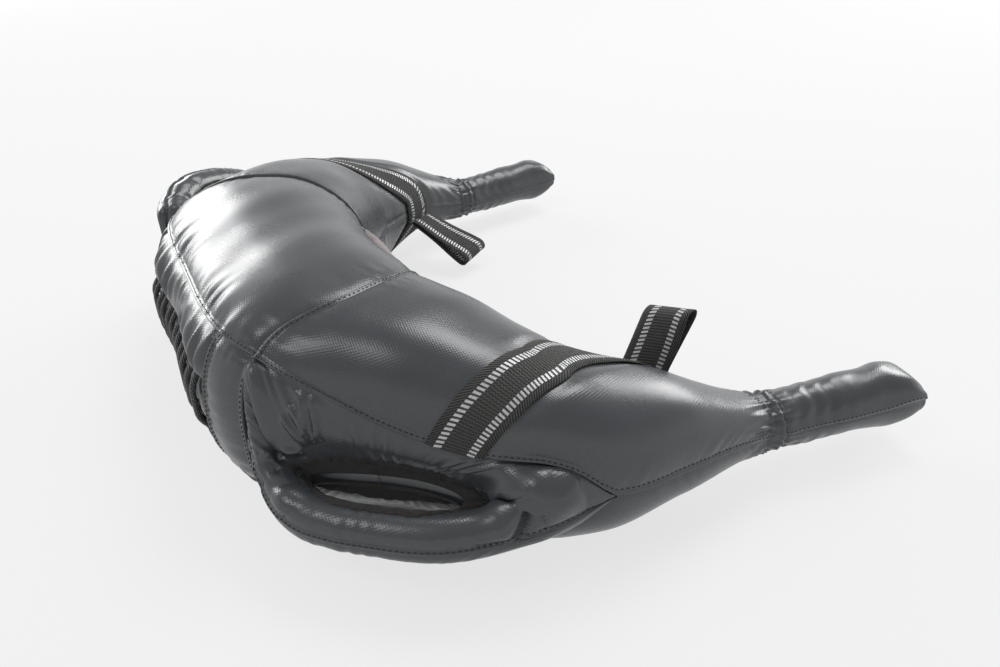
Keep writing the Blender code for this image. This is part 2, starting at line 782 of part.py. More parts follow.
def strap_place(side, shift, angle):
    """Share and angle on the body, at a shift across the strap from its middle."""
    share = strap_share(angle)
    _, by_share, by_angle, normal = surface_frame(side, share, angle)
    slope = (strap_share(angle + STEP) - strap_share(angle - STEP)) / (2 * STEP)
    course = by_share * slope + by_angle
    across = np.cross(normal, course)
    across *= side * shift / np.linalg.norm(across)
    slopes = np.stack([by_share, by_angle], axis=1)
    move = np.linalg.lstsq(slopes, across, rcond=None)[0]
    return share - move[0], angle - move[1]


def strap_end(side, shift, lower):
    """The angle of the strap's middle where its edge reaches the outer seam."""
    near = -STRAP_END_LIMIT / 4
    far = STRAP_END_LIMIT
    for _ in range(24):
        swing = (near + far) / 2
        share, angle = strap_place(side, shift, 2 * math.pi - swing if lower else swing)
        if lower:
            beyond = 2 * math.pi + seam_angle(share, lower=True) - angle
        else:
            beyond = angle - seam_angle(share)
        if beyond < STRAP_END_GAP:
            near = swing
        else:
            far = swing
    swing = (near + far) / 2
    return 2 * math.pi - swing if lower else swing


def strap_point(side, shift, angle, lift):
    """A point on the strap, at a height above the body's surface."""
    share, swing = strap_place(side, shift, angle)
    reach, height = body_profile(side * share, swing, -lift)
    point = place(side * share, reach, height)
    point[2] = max(point[2], 0.0)
    return point


def strap(name, side, webbing, parts):
    """The webbing that goes round one horn, from the top seam to the bottom seam."""
    lift = WEBBING_GAP + WEBBING_THICKNESS
    rows = []
    for shift in spread(-WEBBING_WIDTH / 2, WEBBING_WIDTH / 2, 3):
        first = strap_end(side, shift, lower=False)
        last = strap_end(side, shift, lower=True)
        rows.append([strap_point(side, shift, angle, lift) for angle in spread(first, last, 30)])
    add_sheet("body_strap_" + name, rows, webbing, parts, thickness=WEBBING_THICKNESS, flip=side > 0)


def loop_frame(name, side):
    """Root centre, width direction and rise direction of a strap loop."""
    share = strap_share(LOOP_BASE_ANGLE)
    point, by_share, by_angle, normal = surface_frame(side, share, LOOP_BASE_ANGLE)
    width = by_share / np.linalg.norm(by_share)
    up = -by_angle + width * np.dot(by_angle, width)
    up /= np.linalg.norm(up)
    lift = WEBBING_GAP + WEBBING_THICKNESS + LOOP_GAP + LOOP_ROOT_RADIUS
    rise = LOOP_RISE[name]
    root = point + normal * lift + width * LOOP_SHIFT_WIDTH[name]
    return root, width, up * math.cos(rise) + normal * math.sin(rise)


def loop_outline():
    """The loop's side view: distances along it and across it, from tip to root and back."""
    tip = LOOP_LENGTH - LOOP_TIP_RADIUS
    spring = math.asin((LOOP_TIP_RADIUS - LOOP_ROOT_RADIUS) / tip)
    turn = math.pi / 2 + spring
    outline = []
    for swing in spread(-turn, turn, 8):
        outline.append((tip + LOOP_TIP_RADIUS * math.cos(swing), LOOP_TIP_RADIUS * math.sin(swing)))
    for swing in spread(turn, 2 * math.pi - turn, 4):
        outline.append((LOOP_ROOT_RADIUS * math.cos(swing), LOOP_ROOT_RADIUS * math.sin(swing)))
    first_root = len(outline) - 5
    back = between(outline[first_root - 1], outline[first_root])
    front = between(outline[-1], outline[0])
    return outline[:first_root] + back + outline[first_root:] + front


def between(first, last):
    """Points inside one straight side of the loop."""
    start = np.array(first)
    return [tuple(start + (np.array(last) - start) * t) for t in spread(0.0, 1.0, 5)[1:-1]]


def strap_loop(name, side, webbing, parts):
    """The loop of webbing at the horn's inner side, which swings at its sewn root."""
    root, width, reach = loop_frame(name, side)
    across = np.cross(width, reach)
    lean = width * math.tan(LOOP_LEAN[name])
    rows = []
    for shift in spread(-WEBBING_WIDTH / 2, WEBBING_WIDTH / 2, 4):
        row = []
        for x, y in loop_outline():
            twist = LOOP_TWIST[name] * ramp(x / LOOP_LENGTH)
            turned_width = width * math.cos(twist) + across * math.sin(twist)
            turned_across = across * math.cos(twist) - width * math.sin(twist)
            row.append(root + (reach + lean) * x + turned_width * shift + turned_across * y)
        rows.append(row)
    item = add_sheet(
        "strap_loop_" + name, rows, webbing, parts, thickness=WEBBING_THICKNESS, closed=True
    )
    centre_on(item, root)


def centre_on(item, origin):
    """Move an object's origin without moving its shape."""
    for vertex in item.data.vertices:
        vertex.co -= Vector(origin)
    item.location = origin


def grip_frame(side):
    """Neck centre, and the grip's directions: along, sideways and up."""
    neck = place(side, 0.0, section(side)[2])
    forward = heading(side) * side
    turn = side * GRIP_TURN
    along_grip = np.array(
        [
            forward[0] * math.cos(turn) - forward[1] * math.sin(turn),
            forward[0] * math.sin(turn) + forward[1] * math.cos(turn),
            0.0,
        ]
    )
    up = np.array([0.0, 0.0, 1.0])
    return neck, along_grip, np.cross(along_grip, up), up


def grip_ring(frame, distance, half_width, half_height, power, count):
    """One section of a grip."""
    neck, along_grip, sideways, up = frame
    ring = []
    for i in range(count):
        swing = 2 * math.pi * i / count
        cosine = math.cos(swing)
        sine = math.sin(swing)
        x = half_width * math.copysign(abs(cosine) ** (2.0 / power), cosine)
        z = half_height * math.copysign(abs(sine) ** (2.0 / power), sine)
        ring.append(neck + along_grip * distance + sideways * x + up * z)
    return ring


def grip(name, side, leather, core, parts):
    """One grip: a sleeve with a ball root at the neck, its core, and the end patch."""
    frame = grip_frame(side)
    count = 16
    radius = GRIP_DIAMETER / 2
    table = np.array(GRIP_SHARES)
    inside = COVER_THICKNESS + GRIP_CORE_GAP
    sleeve = []
    filling = []
    for swing in spread(-GRIP_BALL_ANGLE, 0.0, 3):
        distance = GRIP_BALL_RADIUS * math.sin(swing)
        around = GRIP_BALL_RADIUS * math.cos(swing)
        sleeve.append(grip_ring(frame, distance, around, around, 2.0, count))
        shrink = (around - inside) / around
        filling.append(grip_ring(frame, distance * shrink, around * shrink, around * shrink, 2.0, count))
    for share in GRIP_RING_SHARES:
        half_width, half_height = along(table, share) * radius
        power = 2.0 + 1.6 * ramp((share - 0.7) / 0.3)
        distance = share * GRIP_LENGTH
        sleeve.append(grip_ring(frame, distance, half_width, half_height, power, count))
        if share < GRIP_CORE_END_SHARE:
            filling.append(
                grip_ring(frame, distance, half_width - inside, half_height - inside, power, count)
            )
    item = add_sheet("grip_sleeve_" + name, sleeve, leather, parts, closed=True, flip=True)
    centre_on(item, frame[0])
    item = add_loft("grip_core_" + name, filling, core, parts, flip=True)
    centre_on(item, frame[0])
    half_width, half_height = along(table, GRIP_END_SHARE) * radius
    patch = []
    start = GRIP_END_SHARE * GRIP_LENGTH + GRIP_PATCH_GAP
    for distance in (start, start + GRIP_PATCH_THICKNESS):
        patch.append(grip_ring(frame, distance, half_width, half_height, 3.6, count))
    item = add_loft("grip_end_patch_" + name, patch, leather, parts, flip=True)
    centre_on(item, frame[0])


def wadding_depth(share, angle):
    """The wadding lies under the covers, and deeper behind the lace."""
    facing = abs(math.remainder(angle, 2 * math.pi))
    pocket = ramp((POCKET_ANGLE - facing) / POCKET_FADE_ANGLE)
    pocket *= ramp((POCKET_END_SHARE - abs(share)) / POCKET_FADE_SHARE)
    gusset = ramp((GUSSET_POCKET_ANGLE - facing) / POCKET_FADE_ANGLE)
    gusset *= ramp((abs(share) - GUSSET_POCKET_START_SHARE) / POCKET_FADE_SHARE)
    return COVER_THICKNESS + WADDING_GAP + POCKET_DEPTH * pocket + GUSSET_POCKET_DEPTH * gusset


def pouch_point(share, angle, gap=0.0):
    """A point on the sand pouches in the middle of the stuffing."""
    inner, outer, middle, top, bottom = section(share)
    reach = (min(inner, outer) * POUCH_SCALE_SHARE + gap) * math.cos(angle)
    height = middle + ((top - middle) * POUCH_SCALE_SHARE + gap) * math.sin(angle)
    return place(share, reach, height)


def stuffing(wadding, pouch, parts):
    """Two halves of wadding round three sand pouches."""
    shares = spread(-TIP_WADDING_SHARE, TIP_WADDING_SHARE, 2 * STUFFING_HALF_SECTIONS)
    for name, sign in (("top", 1), ("bottom", -1)):
        sections = []
        for share in shares:
            split = edge_angle(share, WADDING_SPLIT_GAP / 2)
            outer_angles = spread(split, math.pi - split, 9)
            inner_split = WADDING_SPLIT_GAP / 2 / (BODY_WIDTH / 2 * POUCH_SCALE_SHARE)
            inner_angles = spread(math.pi - inner_split, inner_split, 5)
            ring = [body_point(share, sign * a, wadding_depth(share, a)) for a in outer_angles]
            ring += [pouch_point(share, sign * a, POUCH_GAP) for a in inner_angles]
            sections.append(ring)
        add_loft("wadding_" + name, sections, wadding, parts, flip=sign < 0)
    for name, (first, last) in POUCH_SECTIONS.items():
        sections = []
        for share in shares[STUFFING_HALF_SECTIONS + first : STUFFING_HALF_SECTIONS + last + 1]:
            sections.append([pouch_point(share, 2 * math.pi * i / 10) for i in range(10)])
        add_loft("sand_pouch_" + name, sections, pouch, parts)


def tip_wadding(name, side, wadding, parts):
    """The stuffing of a horn's end, hollowed for the ball root of the grip."""
    count = 14
    neck = place(side, 0.0, section(side)[2])
    last = 1.0 - NECK_CUT_LENGTH / HALF_LENGTH
    start = TIP_WADDING_SHARE + SEAM_GAP / HALF_LENGTH
    sections = []
    for share in spread(start, last, 5):
        ring = []
        for i in range(count):
            angle = 2 * math.pi * i / count
            ring.append(body_point(side * share, angle, COVER_THICKNESS + WADDING_GAP))
        sections.append(ring)
    cup = GRIP_BALL_RADIUS + GRIP_BALL_GAP
    forward = heading(side) * side
    sideways = outward(side)
    for swing in spread(*GRIP_CUP_ANGLES, 3):
        back = -forward * cup * math.sin(swing)
        radius = cup * math.cos(swing)
        ring = []
        for i in range(count):
            angle = 2 * math.pi * i / count
            point = neck + back + sideways * radius * math.cos(angle)
            point[2] += radius * math.sin(angle)
            ring.append(point)
        sections.append(ring)
    add_loft("horn_tip_wadding_" + name, sections, wadding, parts, flip=side < 0)


def build():
    """Build the whole bag."""
    clear_scene()
    parts = bpy.data.collections.new("sandbag_trainer")
    bpy.context.scene.collection.children.link(parts)
    leather = make_material(*LEATHER)
    neck_leather = make_material(*NECK_LEATHER)
    webbing = make_material(*WEBBING)
    binding = make_material(*BINDING)
    lacing = make_material(*LACING)
    wadding = make_material(*WADDING)
    pouch = make_material(*POUCH)
    core = make_material(*CORE)
    centre_panels(leather, neck_leather, parts)
    back_covers(leather, parts)
    lace_and_tongue(leather, lacing, parts)
    stuffing(wadding, pouch, parts)
    for name, side in SIDES.items():
        horn_panels(name, side, leather, parts)
        side_handle(name, side, leather, binding, core, parts)
        strap(name, side, webbing, parts)
        strap_loop(name, side, webbing, parts)
        grip(name, side, leather, core, parts)
        tip_wadding(name, side, wadding, parts)


build()
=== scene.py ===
"""Looks of the crescent sandbag trainer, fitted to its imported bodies. Metres, +Z up.

A place on the body is a share, from 0 at the middle plane to 1 at a neck and negative
on the left, and an angle round the section, from 0 at the outer side over the top to
180 degrees at the inner side. Each cover panel is a fine grid between its seams, moved
along its normals by laps, puckers, folds and a slow unevenness.
"""

import math

import bpy
import numpy as np
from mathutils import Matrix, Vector

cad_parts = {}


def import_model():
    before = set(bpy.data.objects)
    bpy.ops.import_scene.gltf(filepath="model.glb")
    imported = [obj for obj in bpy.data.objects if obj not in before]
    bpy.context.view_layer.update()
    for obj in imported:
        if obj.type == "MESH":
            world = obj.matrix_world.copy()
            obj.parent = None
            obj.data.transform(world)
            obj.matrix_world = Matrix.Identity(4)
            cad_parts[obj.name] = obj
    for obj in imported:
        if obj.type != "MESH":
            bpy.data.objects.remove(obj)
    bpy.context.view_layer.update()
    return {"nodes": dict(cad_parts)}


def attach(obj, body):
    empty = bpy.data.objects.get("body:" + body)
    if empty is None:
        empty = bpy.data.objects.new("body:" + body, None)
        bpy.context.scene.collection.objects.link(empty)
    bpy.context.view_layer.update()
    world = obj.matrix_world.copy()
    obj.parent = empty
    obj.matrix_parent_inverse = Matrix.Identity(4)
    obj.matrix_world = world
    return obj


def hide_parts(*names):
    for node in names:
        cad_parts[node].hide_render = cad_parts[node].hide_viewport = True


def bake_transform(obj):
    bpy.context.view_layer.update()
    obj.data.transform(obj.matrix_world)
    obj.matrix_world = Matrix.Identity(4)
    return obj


# Main sizes of the crescent, as in the solids
HORN_HALF_WIDTH = 0.270
HORN_DEPTH = 0.309
BODY_WIDTH = 0.180
BODY_HEIGHT = 0.170
FOOTPRINT_SHIFT = 0.1859
SECTION_POWER = 2.4

# Distance share, then X as a share of the horn span and Y as a share of the horn depth
CENTRELINE_SHARES = [
    [0.00, 0.000, 0.025],
    [0.22, 0.365, 0.078],
    [0.44, 0.681, 0.252],
    [0.60, 0.856, 0.427],
    [0.795, 0.967, 0.696],
    [1.00, 1.000, 1.000],
]

# Distance share, then inner and outer reach as shares of half the body width,
# and the heights of the middle, top and bottom as shares of the body height
SECTION_SHARES = [
    [0.00, 1.14, 0.93, 0.50, 1.00, -0.03],
    [0.26, 1.10, 1.03, 0.46, 0.99, -0.03],
    [0.35, 1.05, 0.80, 0.43, 0.96, -0.03],
    [0.44, 0.99, 0.66, 0.41, 0.92, -0.03],
    [0.53, 0.89, 0.64, 0.39, 0.85, -0.025],
    [0.60, 0.80, 0.62, 0.385, 0.79, -0.015],
    [0.69, 0.68, 0.625, 0.37, 0.72, 0.04],
    [0.795, 0.52, 0.48, 0.36, 0.64, 0.13],
    [0.88, 0.385, 0.36, 0.33, 0.53, 0.15],
    [0.95, 0.30, 0.29, 0.285, 0.44, 0.14],
    [1.00, 0.267, 0.267, 0.259, 0.40, 0.118],
]

# Distance share, then the heights of the upper and lower outer seams
SEAM_SHARES = [
    [0.00, 0.840, 0.18],
    [0.20, 0.840, 0.18],
    [0.25, 0.820, 0.18],
    [0.30, 0.765, 0.18],
    [0.35, 0.690, 0.185],
    [0.43, 0.592, 0.19],
    [0.50, 0.545, 0.20],
    [0.57, 0.533, 0.21],
    [0.61, 0.522, 0.22],
    [0.64, 0.485, 0.25],
    [0.67, 0.410, 0.32],
    [0.69, 0.360, 0.36],
]

# Distance share, then the outer seam of the side handle: reach and height
HANDLE_SHARES = [
    [0.25, 1.04, 0.46],
    [0.30, 1.24, 0.33],
    [0.344, 1.33, 0.30],
    [0.39, 1.325, 0.30],
    [0.432, 1.28, 0.30],
    [0.475, 1.235, 0.30],
    [0.513, 1.165, 0.30],
    [0.549, 1.05, 0.30],
    [0.58, 0.93, 0.30],
    [0.63, 0.755, 0.32],
    [0.69, 0.625, 0.37],
]

# Where the panels meet, as shares of the half body and as angles
CROSS_SEAM_SHARE = 0.250
CROSS_SEAM_BOW_SHARE = 0.052
CROSS_SEAM_BOW_START = math.radians(40.0)
CROSS_SEAM_BOW_END = math.radians(166.0)
CROSS_SEAM_BOW_FADE_SHARE = 0.20
OPENING_END_SHARE = 0.18
GUSSET_TIP_SHARE = 0.69
GUSSET_END_SHARE = 0.688
INNER_SEAM_ANGLE = math.radians(180.0)
NECK_PAD_HALF_ANGLE = math.radians(24.0)
NECK_PAD_BULGE_DEPTH = 0.016
NECK_PAD_FADE_SHARE = 0.09
FLAP_EDGE_ANGLE = math.radians(15.0)
NECK_CUT_LENGTH = 0.014
WEBBING_WIDTH = 0.038
WEBBING_THICKNESS = 0.0016
WEBBING_GAP = 0.0020
STRAP_CLEAR_START_SHARE = 0.36
STRAP_CLEAR_RAMP_SHARE = 0.05

# Side handle and its hand slot
HANDLE_DIAMETER = 0.032
HANDLE_WRAP_ANGLE = math.radians(155.0)
SLOT_HEIGHT = 0.060
SLOT_WALL_HEIGHT = 0.012
SLOT_WALL_OFFSET = 0.001
SLOT_CENTRE_SHARE = 0.417
SLOT_HALF_SHARE = 0.096
SLOT_INNER_SHARE = 0.35
SLOT_OUTER_SHARE = 0.50
HANDLE_START_SHARE = 0.292
HANDLE_END_SHARE = 0.53
WING_FADE_SHARE = 0.075
HANDLE_FADE_SHARE = 0.07
HANDLE_POSES = {
    "left": (0.0, 0.0, 0.0, 0.0),
    "right": (0.045, 0.018, 0.008, math.radians(62.0)),
}

# Seams of the covers: the lap, its ridge and its stitches, and the covers' own relief
LAP_WIDTH = 0.0046
LAP_RISE = 0.0015
LAP_EDGE = 0.0007
LAP_TURN = 0.0008
LAP_RIDGE = 0.0007
LAP_RIDGE_AT = 0.0011
LAP_RIDGE_WIDTH = 0.0008
UNDER_DEPTH = 0.0006
UNDER_REACH = 0.0026
UNDER_TUCK = 0.0032
PINCH_DEPTH = 0.0016
PINCH_REACH = 0.007
PUFF = 0.0016
PUFF_REACH = 0.022
UNEVEN = 0.0006
UNEVEN_SIZE = 0.018
SLOW_UNEVEN = 0.0014
SLOW_UNEVEN_SIZE = 0.045
STITCH_OFFSET = 0.0030
STITCH_DENT_WIDTH = 0.0009
STITCH_PITCH = 0.0040
STITCH_LENGTH = 0.0029
STITCH_RADIUS = 0.00042
COVER_STEP = 0.0028
WELD_DISTANCE = 0.0001

# Distances from an edge at which a cover has grid lines, by the way the edge is sewn
EDGE_LINES = {
    "lap": [0.0, 0.0003, 0.0007, 0.0014, 0.0022, STITCH_OFFSET, 0.0038, LAP_WIDTH, 0.0056, 0.0070],
    "under": [-UNDER_REACH, -0.0006, 0.0006, 0.0020, 0.0038, 0.0058],
    "hem": [0.0, 0.0012, 0.0030],
}

# Puckers along a seam: height, pitch and reach from the seam
PUCKERS = {
    "plain": (0.0005, 0.013, 0.010),
    "cross": (0.0004, 0.013, 0.012),
    "top": (0.0014, 0.0165, 0.012),
    "pad": (0.0006, 0.020, 0.012),
    "laced": (0.0034, 0.0205, 0.012),
    "flap": (0.0010, 0.0165, 0.010),
    "end": (0.0007, 0.010, 0.014),
    "neck": (0.0017, 0.0098, 0.011),
    "inner": (0.0005, 0.018, 0.010),
    "handle_outer": (0.0004, 0.014, 0.010),
    "handle_inner": (0.0010, 0.012, 0.016),
}

# Creases of the side handles: first and last place as share and across share, width, height
HANDLE_FOLDS = {
    "left": [
        [(0.262, 0.995), (0.296, 0.30), 0.0034, -0.0080],
        [(0.286, 1.0), (0.300, 0.72), 0.0028, -0.0040],
        [(0.274, 0.98), (0.290, 0.55), 0.0040, 0.0058],
        [(0.326, 0.225), (0.304, 0.105), 0.0026, 0.0050],
        [(0.320, 0.20), (0.312, 0.03), 0.0026, 0.0052],
        [(0.333, 0.21), (0.324, 0.02), 0.0026, 0.0046],
        [(0.318, 0.24), (0.296, 0.16), 0.0026, 0.0044],
        [(0.312, 0.27), (0.280, 0.80), 0.0034, 0.0054],
        [(0.316, 0.285), (0.294, 0.785), 0.0020, -0.0030],
        [(0.300, 0.36), (0.284, 0.96), 0.0028, 0.0044],
        [(0.318, 0.78), (0.334, 0.90), 0.0090, 0.0028],
        [(0.556, 0.42), (0.586, 0.74), 0.0024, -0.0075],
        [(0.586, 0.74), (0.578, 1.0), 0.0024, -0.0085],
        [(0.552, 0.56), (0.562, 0.94), 0.0080, 0.0052],
        [(0.540, 0.38), (0.604, 0.29), 0.0075, 0.0030],
        [(0.550, 0.50), (0.598, 0.50), 0.0075, 0.0028],
        [(0.602, 0.72), (0.640, 0.50), 0.0130, 0.0050],
    ],
    "right": [
        [(0.268, 0.995), (0.300, 0.35), 0.0034, -0.0060],
        [(0.292, 1.0), (0.306, 0.65), 0.0028, -0.0040],
        [(0.280, 0.98), (0.298, 0.55), 0.0044, 0.0040],
        [(0.320, 1.0), (0.328, 0.70), 0.0030, -0.0034],
        [(0.326, 0.225), (0.300, 0.10), 0.0030, 0.0030],
        [(0.360, 1.0), (0.372, 0.76), 0.0032, -0.0022],
        [(0.548, 0.42), (0.580, 0.78), 0.0028, -0.0060],
        [(0.565, 0.60), (0.562, 1.0), 0.0028, -0.0050],
        [(0.552, 0.60), (0.556, 0.96), 0.0070, 0.0040],
        [(0.602, 0.72), (0.640, 0.50), 0.0130, 0.0046],
    ],
}

# Slot tape, its loose threads and the slot's wall
TAPE_COVER = 0.0040
TAPE_BODY_WIDTH = 0.0125
TAPE_TUBE_WIDTH = 0.0175
TAPE_SWELL = 0.16
TAPE_SEARCH_WIDTH = 0.030
TAPE_TURN = 0.0035
TAPE_LIFT = 0.0015
TAPE_CREASE = 0.0003
TAPE_POINTS = 480
LOOSE_THREADS = 110
LOOSE_THREAD_RADIUS = 0.00022
LOOSE_THREAD_LENGTH = 0.0030
LOOSE_THREAD_ROOT = 0.0020
LOOSE_THREAD_LIFT = 0.0004
LOOSE_THREAD_ARCH = 0.0012
LONG_THREAD = 0.024
LONG_THREAD_SHARE = 0.73
LONG_THREAD_SWAY = 0.0012
LONG_THREAD_ARCH = 0.004
SLOT_WALL_INSET = 0.0004
SLOT_WALL_SWELL = 0.0012

# Lace and its tongue
LACE_RADIUS = 0.0031
LACE_FLATNESS = 0.72
LACE_STROKES = 12
LACE_TURN_ANGLE = math.radians(19.0)
LACE_HALF_LENGTH_SHARE = 0.165
LACE_DIAMETER = 0.006
LACE_PROUD_HEIGHT = 0.002
LACE_GAP = 0.0010
COVER_THICKNESS = 0.0012
TONGUE_HALF_ANGLE = math.radians(28.0)
TONGUE_END_SHARE = 0.174
TONGUE_WAVE = 0.0007

# Neck pad
NECK_PAD_EDGE_GAP_SHARE = 0.0012
NECK_PAD_UNEVEN_SIZE = 0.03
NECK_PAD_PUCKER = 0.0007
NECK_PAD_PUCKER_SIZES = (0.0042, 0.017, 0.0019)
NECK_PAD_PUCKER_REACH = 0.007
NECK_PAD_SEAM_DEPTH = 0.0008
NECK_PAD_SEAM_WIDTH = 0.0022
NECK_PAD_CREASE = 0.0009
NECK_PAD_CREASE_SIZES = (0.0145, 0.006)

# Straps and their loops
STRAP_SEAT = 0.0001
STRAP_WAVE = 0.0003
STRAP_WAVE_SIZES = (0.021, 0.009)
STRAP_FLOOR_GAP = 0.0002
STRAP_EDGE_SOFTNESS = 0.0008
STRAP_ROWS = 13
STRAP_POINTS = 130
STRAP_ROUNDS = 4
STRAP_MOVE = 0.12
STRAP_END_GAP = math.radians(0.6)
STRAP_END_LIMIT = math.radians(60.0)
STRAP_PRESS = 0.0004
LOOP_BASE_ANGLE = math.radians(188.0)
LOOP_LENGTH = 0.078
LOOP_ROOT_RADIUS = 0.0024
LOOP_TIP_RADIUS = 0.0080
LOOP_GAP = 0.0018
LOOP_SHIFT_WIDTH = {"left": -0.0065, "right": 0.0}
LOOP_LEAN = {"left": math.radians(19.0), "right": math.radians(4.0)}
LOOP_TWIST = {"left": math.radians(34.0), "right": math.radians(-15.0)}
LOOP_BOW = 0.0015
LOOP_RISE = {"left": math.radians(20.0), "right": math.radians(109.0)}

# Angle round the section, then distance share of the strap's middle
STRAP_PATH_SHARES = [
    [math.radians(-15.0), 0.462],
    [math.radians(15.0), 0.4975],
    [math.radians(47.0), 0.537],
    [math.radians(82.0), 0.587],
    [math.radians(105.0), 0.642],
    [math.radians(122.0), 0.700],
    [math.radians(138.0), 0.752],
    [math.radians(152.0), 0.788],
    [math.radians(180.0), 0.808],
]

# Grips
GRIP_LENGTH = 0.145
GRIP_DIAMETER = 0.047
GRIP_TURN = math.radians(3.5)

# Distance share along the grip, then half width and half height as shares of its radius
GRIP_SHARES = [
    [-0.14, 0.72, 0.72],
    [0.00, 0.93, 0.93],
    [0.06, 0.975, 0.975],
    [0.20, 0.98, 0.99],
    [0.45, 1.00, 1.02],
    [0.68, 1.03, 1.08],
    [0.82, 1.04, 1.06],
    [0.93, 1.00, 0.80],
    [1.00, 0.94, 0.42],
]
GRIP_GATHER = 0.0007
GRIP_GATHER_REACH = 0.016
GRIP_COLLAR_RISE = 0.0016
GRIP_COLLAR_AT = 0.0045
GRIP_COLLAR_WIDTH = 0.0022
GRIP_GROOVE_DEPTH = 0.0012
GRIP_GROOVE_WIDTH = 0.0012
GRIP_SEAM_TURN = math.radians(-4.0)
GRIP_SEAM_DEPTH = 0.0009
GRIP_SEAM_WIDTH = 0.0012
GRIP_FOLD_RISE = 0.0006
GRIP_FOLD_WIDTH = 0.0046
GRIP_FOLD_EDGE = 0.0016
GRIP_STITCH_OFFSET = 0.0020
GRIP_SWELL = 0.0007
GRIP_SWELL_SIZE = 0.012
GRIP_RIPPLE = 0.0004
GRIP_RIPPLE_SIZE = 0.0058
GRIP_WRINKLE = 0.0004
GRIP_WRINKLE_SIZE = 0.0024
GRIP_WRINKLE_AT = 0.034
GRIP_WRINKLE_REACH = 0.030
GRIP_RIM_SHARE = 0.981
GRIP_RIM_RISE = 0.0006
GRIP_RIM_WIDTH = 0.0011
GRIP_RIM_TURN = 0.0012
GRIP_END_CREASE = 0.0014
GRIP_END_POWER = 3.6
GRIP_END_FOLD = 0.0006
GRIP_END_FOLD_WIDTH = 0.0016

# Share of the way from the grip's rim to its middle, then how far the end patch bulges
GRIP_END_BULGES = [(0.0, -0.0012), (0.05, 0.0), (0.35, 0.0012), (0.7, 0.0019), (1.0, 0.0023)]

# Colours, and the pitches and depths of the weaves
LEATHER_COLOUR = (0.040, 0.0445, 0.049)
LEATHER_WEAVE_PITCH = 0.0024
LEATHER_WEAVE_DEPTH = 0.00006
LEATHER_GRAIN_DEPTH = 0.00002
# Neck pad leather: its own taupe brown, darkened by painted shade for the shade under the bag
NECK_LEATHER_SHADED_COLOUR = (0.135, 0.103, 0.100)
PORE_DEPTH = 0.00008
WEBBING_COLOUR = (0.016, 0.0155, 0.015)
SILVER_COLOUR = (0.44, 0.45, 0.46)
STRIPE_AT = 0.0107
STRIPE_HALF_WIDTH = 0.0025
SELVAGE_AT = 0.0136
DASH_PITCH = 0.0034
RIB_WIDTH_PITCH = 0.0027
RIB_PITCH = 0.0024
RIB_SWAY = 0.0005
RIB_DEPTH = 0.0010
FIBRE_DEPTH = 0.0001
TAPE_COLOUR = (0.036, 0.031, 0.029)
TAPE_WEAVE_PITCH = 0.0019
TAPE_WEAVE_DEPTH = 0.0016
LACE_COLOUR = (0.016, 0.016, 0.0155)
LACE_WEAVE_PITCH = 0.0030
LACE_WEAVE_DEPTH = 0.0010
FLUFF_DEPTH = 0.0004
THREAD_COLOUR = (0.012, 0.012, 0.013)
FILLING_DEPTH = 0.0008

# Start of the hidden solids' names, then their material, its colour and how fine its grain is
FILLING_LOOKS = {
    "wadding": ("polyester_wadding", (0.55, 0.55, 0.53), 60.0),
    "horn_tip_wadding": ("packed_wadding", (0.50, 0.50, 0.48), 90.0),
    "sand_pouch": ("pouch_canvas", (0.22, 0.20, 0.16), 320.0),
    "side_handle_core": ("handle_foam", (0.10, 0.10, 0.11), 500.0),
    "grip_core": ("grip_foam", (0.08, 0.08, 0.09), 500.0),
}

# Camera and light
CAMERA_PLACE = (-0.612, 0.2949, 0.427)
CAMERA_TILT = math.radians(58.9)
CAMERA_TURN = math.radians(-118.5)
CAMERA_LENS = 28.66
SENSOR_WIDTH = 36.0
FLOOR_SIZE = 60.0
FLOOR_COLOUR = (0.72, 0.72, 0.725)
FLOOR_GLOW_COLOUR = (0.885, 0.885, 0.89)
FLOOR_GLOW_SHARE = 0.82
ROOM_SHOWN = 0.82
HORIZON_LIGHT = 1.0
SKY_LIGHT = 0.48
SKY_START = 0.20
SKY_END = 0.50
LAMP_TARGET = (0.0, 0.0, 0.08)

# Softboxes: turn round the bag from +X, height above the floor, distance, width, height, power
SOFTBOXES = {
    "softbox_back_left": [math.radians(19.0), math.radians(17.0), 4.6, 3.4, 1.9, 165.0],
    "softbox_right": [math.radians(-74.0), math.radians(24.0), 4.2, 1.7, 1.7, 84.0],
    "softbox_above": [math.radians(-62.0), math.radians(62.0), 3.4, 1.6, 1.6, 62.0],
    "softbox_near": [math.radians(98.0), math.radians(54.0), 3.4, 1.1, 1.1, 19.0],
}

# Small steps for slopes, in metres or as shares and angles
STEP = 0.002
WING_STEP = 0.004

SIDES = {"left": -1, "right": 1}
BAG = "bag"


# Shape of the body


def whole_table(rows, odd_columns=()):
    """A table over both halves of the body, from its right half."""
    flip = np.ones(len(rows[0]))
    flip[0] = -1.0
    for column in odd_columns:
        flip[column] = -1.0
    left = [np.array(row) * flip for row in reversed(rows[1:])]
    return np.array(left + [np.array(row) for row in rows])


def along(table, keys):
    """Smooth values between the rows of a table, whose first column is the key."""
    keys = np.asarray(keys, dtype=float)
    knots = table[:, 0]
    values = table[:, 1:]
    slopes = np.gradient(values, knots, axis=0)
    rows = np.clip(np.searchsorted(knots, keys) - 1, 0, len(knots) - 2)
    step = (knots[rows + 1] - knots[rows])[..., None]
    t = (keys - knots[rows])[..., None] / step
    start = values[rows] * (2 * t**3 - 3 * t**2 + 1) + slopes[rows] * step * (t**3 - 2 * t**2 + t)
    end = values[rows + 1] * (3 * t**2 - 2 * t**3) + slopes[rows + 1] * step * (t**3 - t**2)
    return start + end


CENTRELINE = whole_table(CENTRELINE_SHARES, odd_columns=[1])
SECTIONS = whole_table(SECTION_SHARES)
SEAMS = np.array(SEAM_SHARES)
STRAP_PATH = np.array(STRAP_PATH_SHARES)
HANDLE = np.array(HANDLE_SHARES)


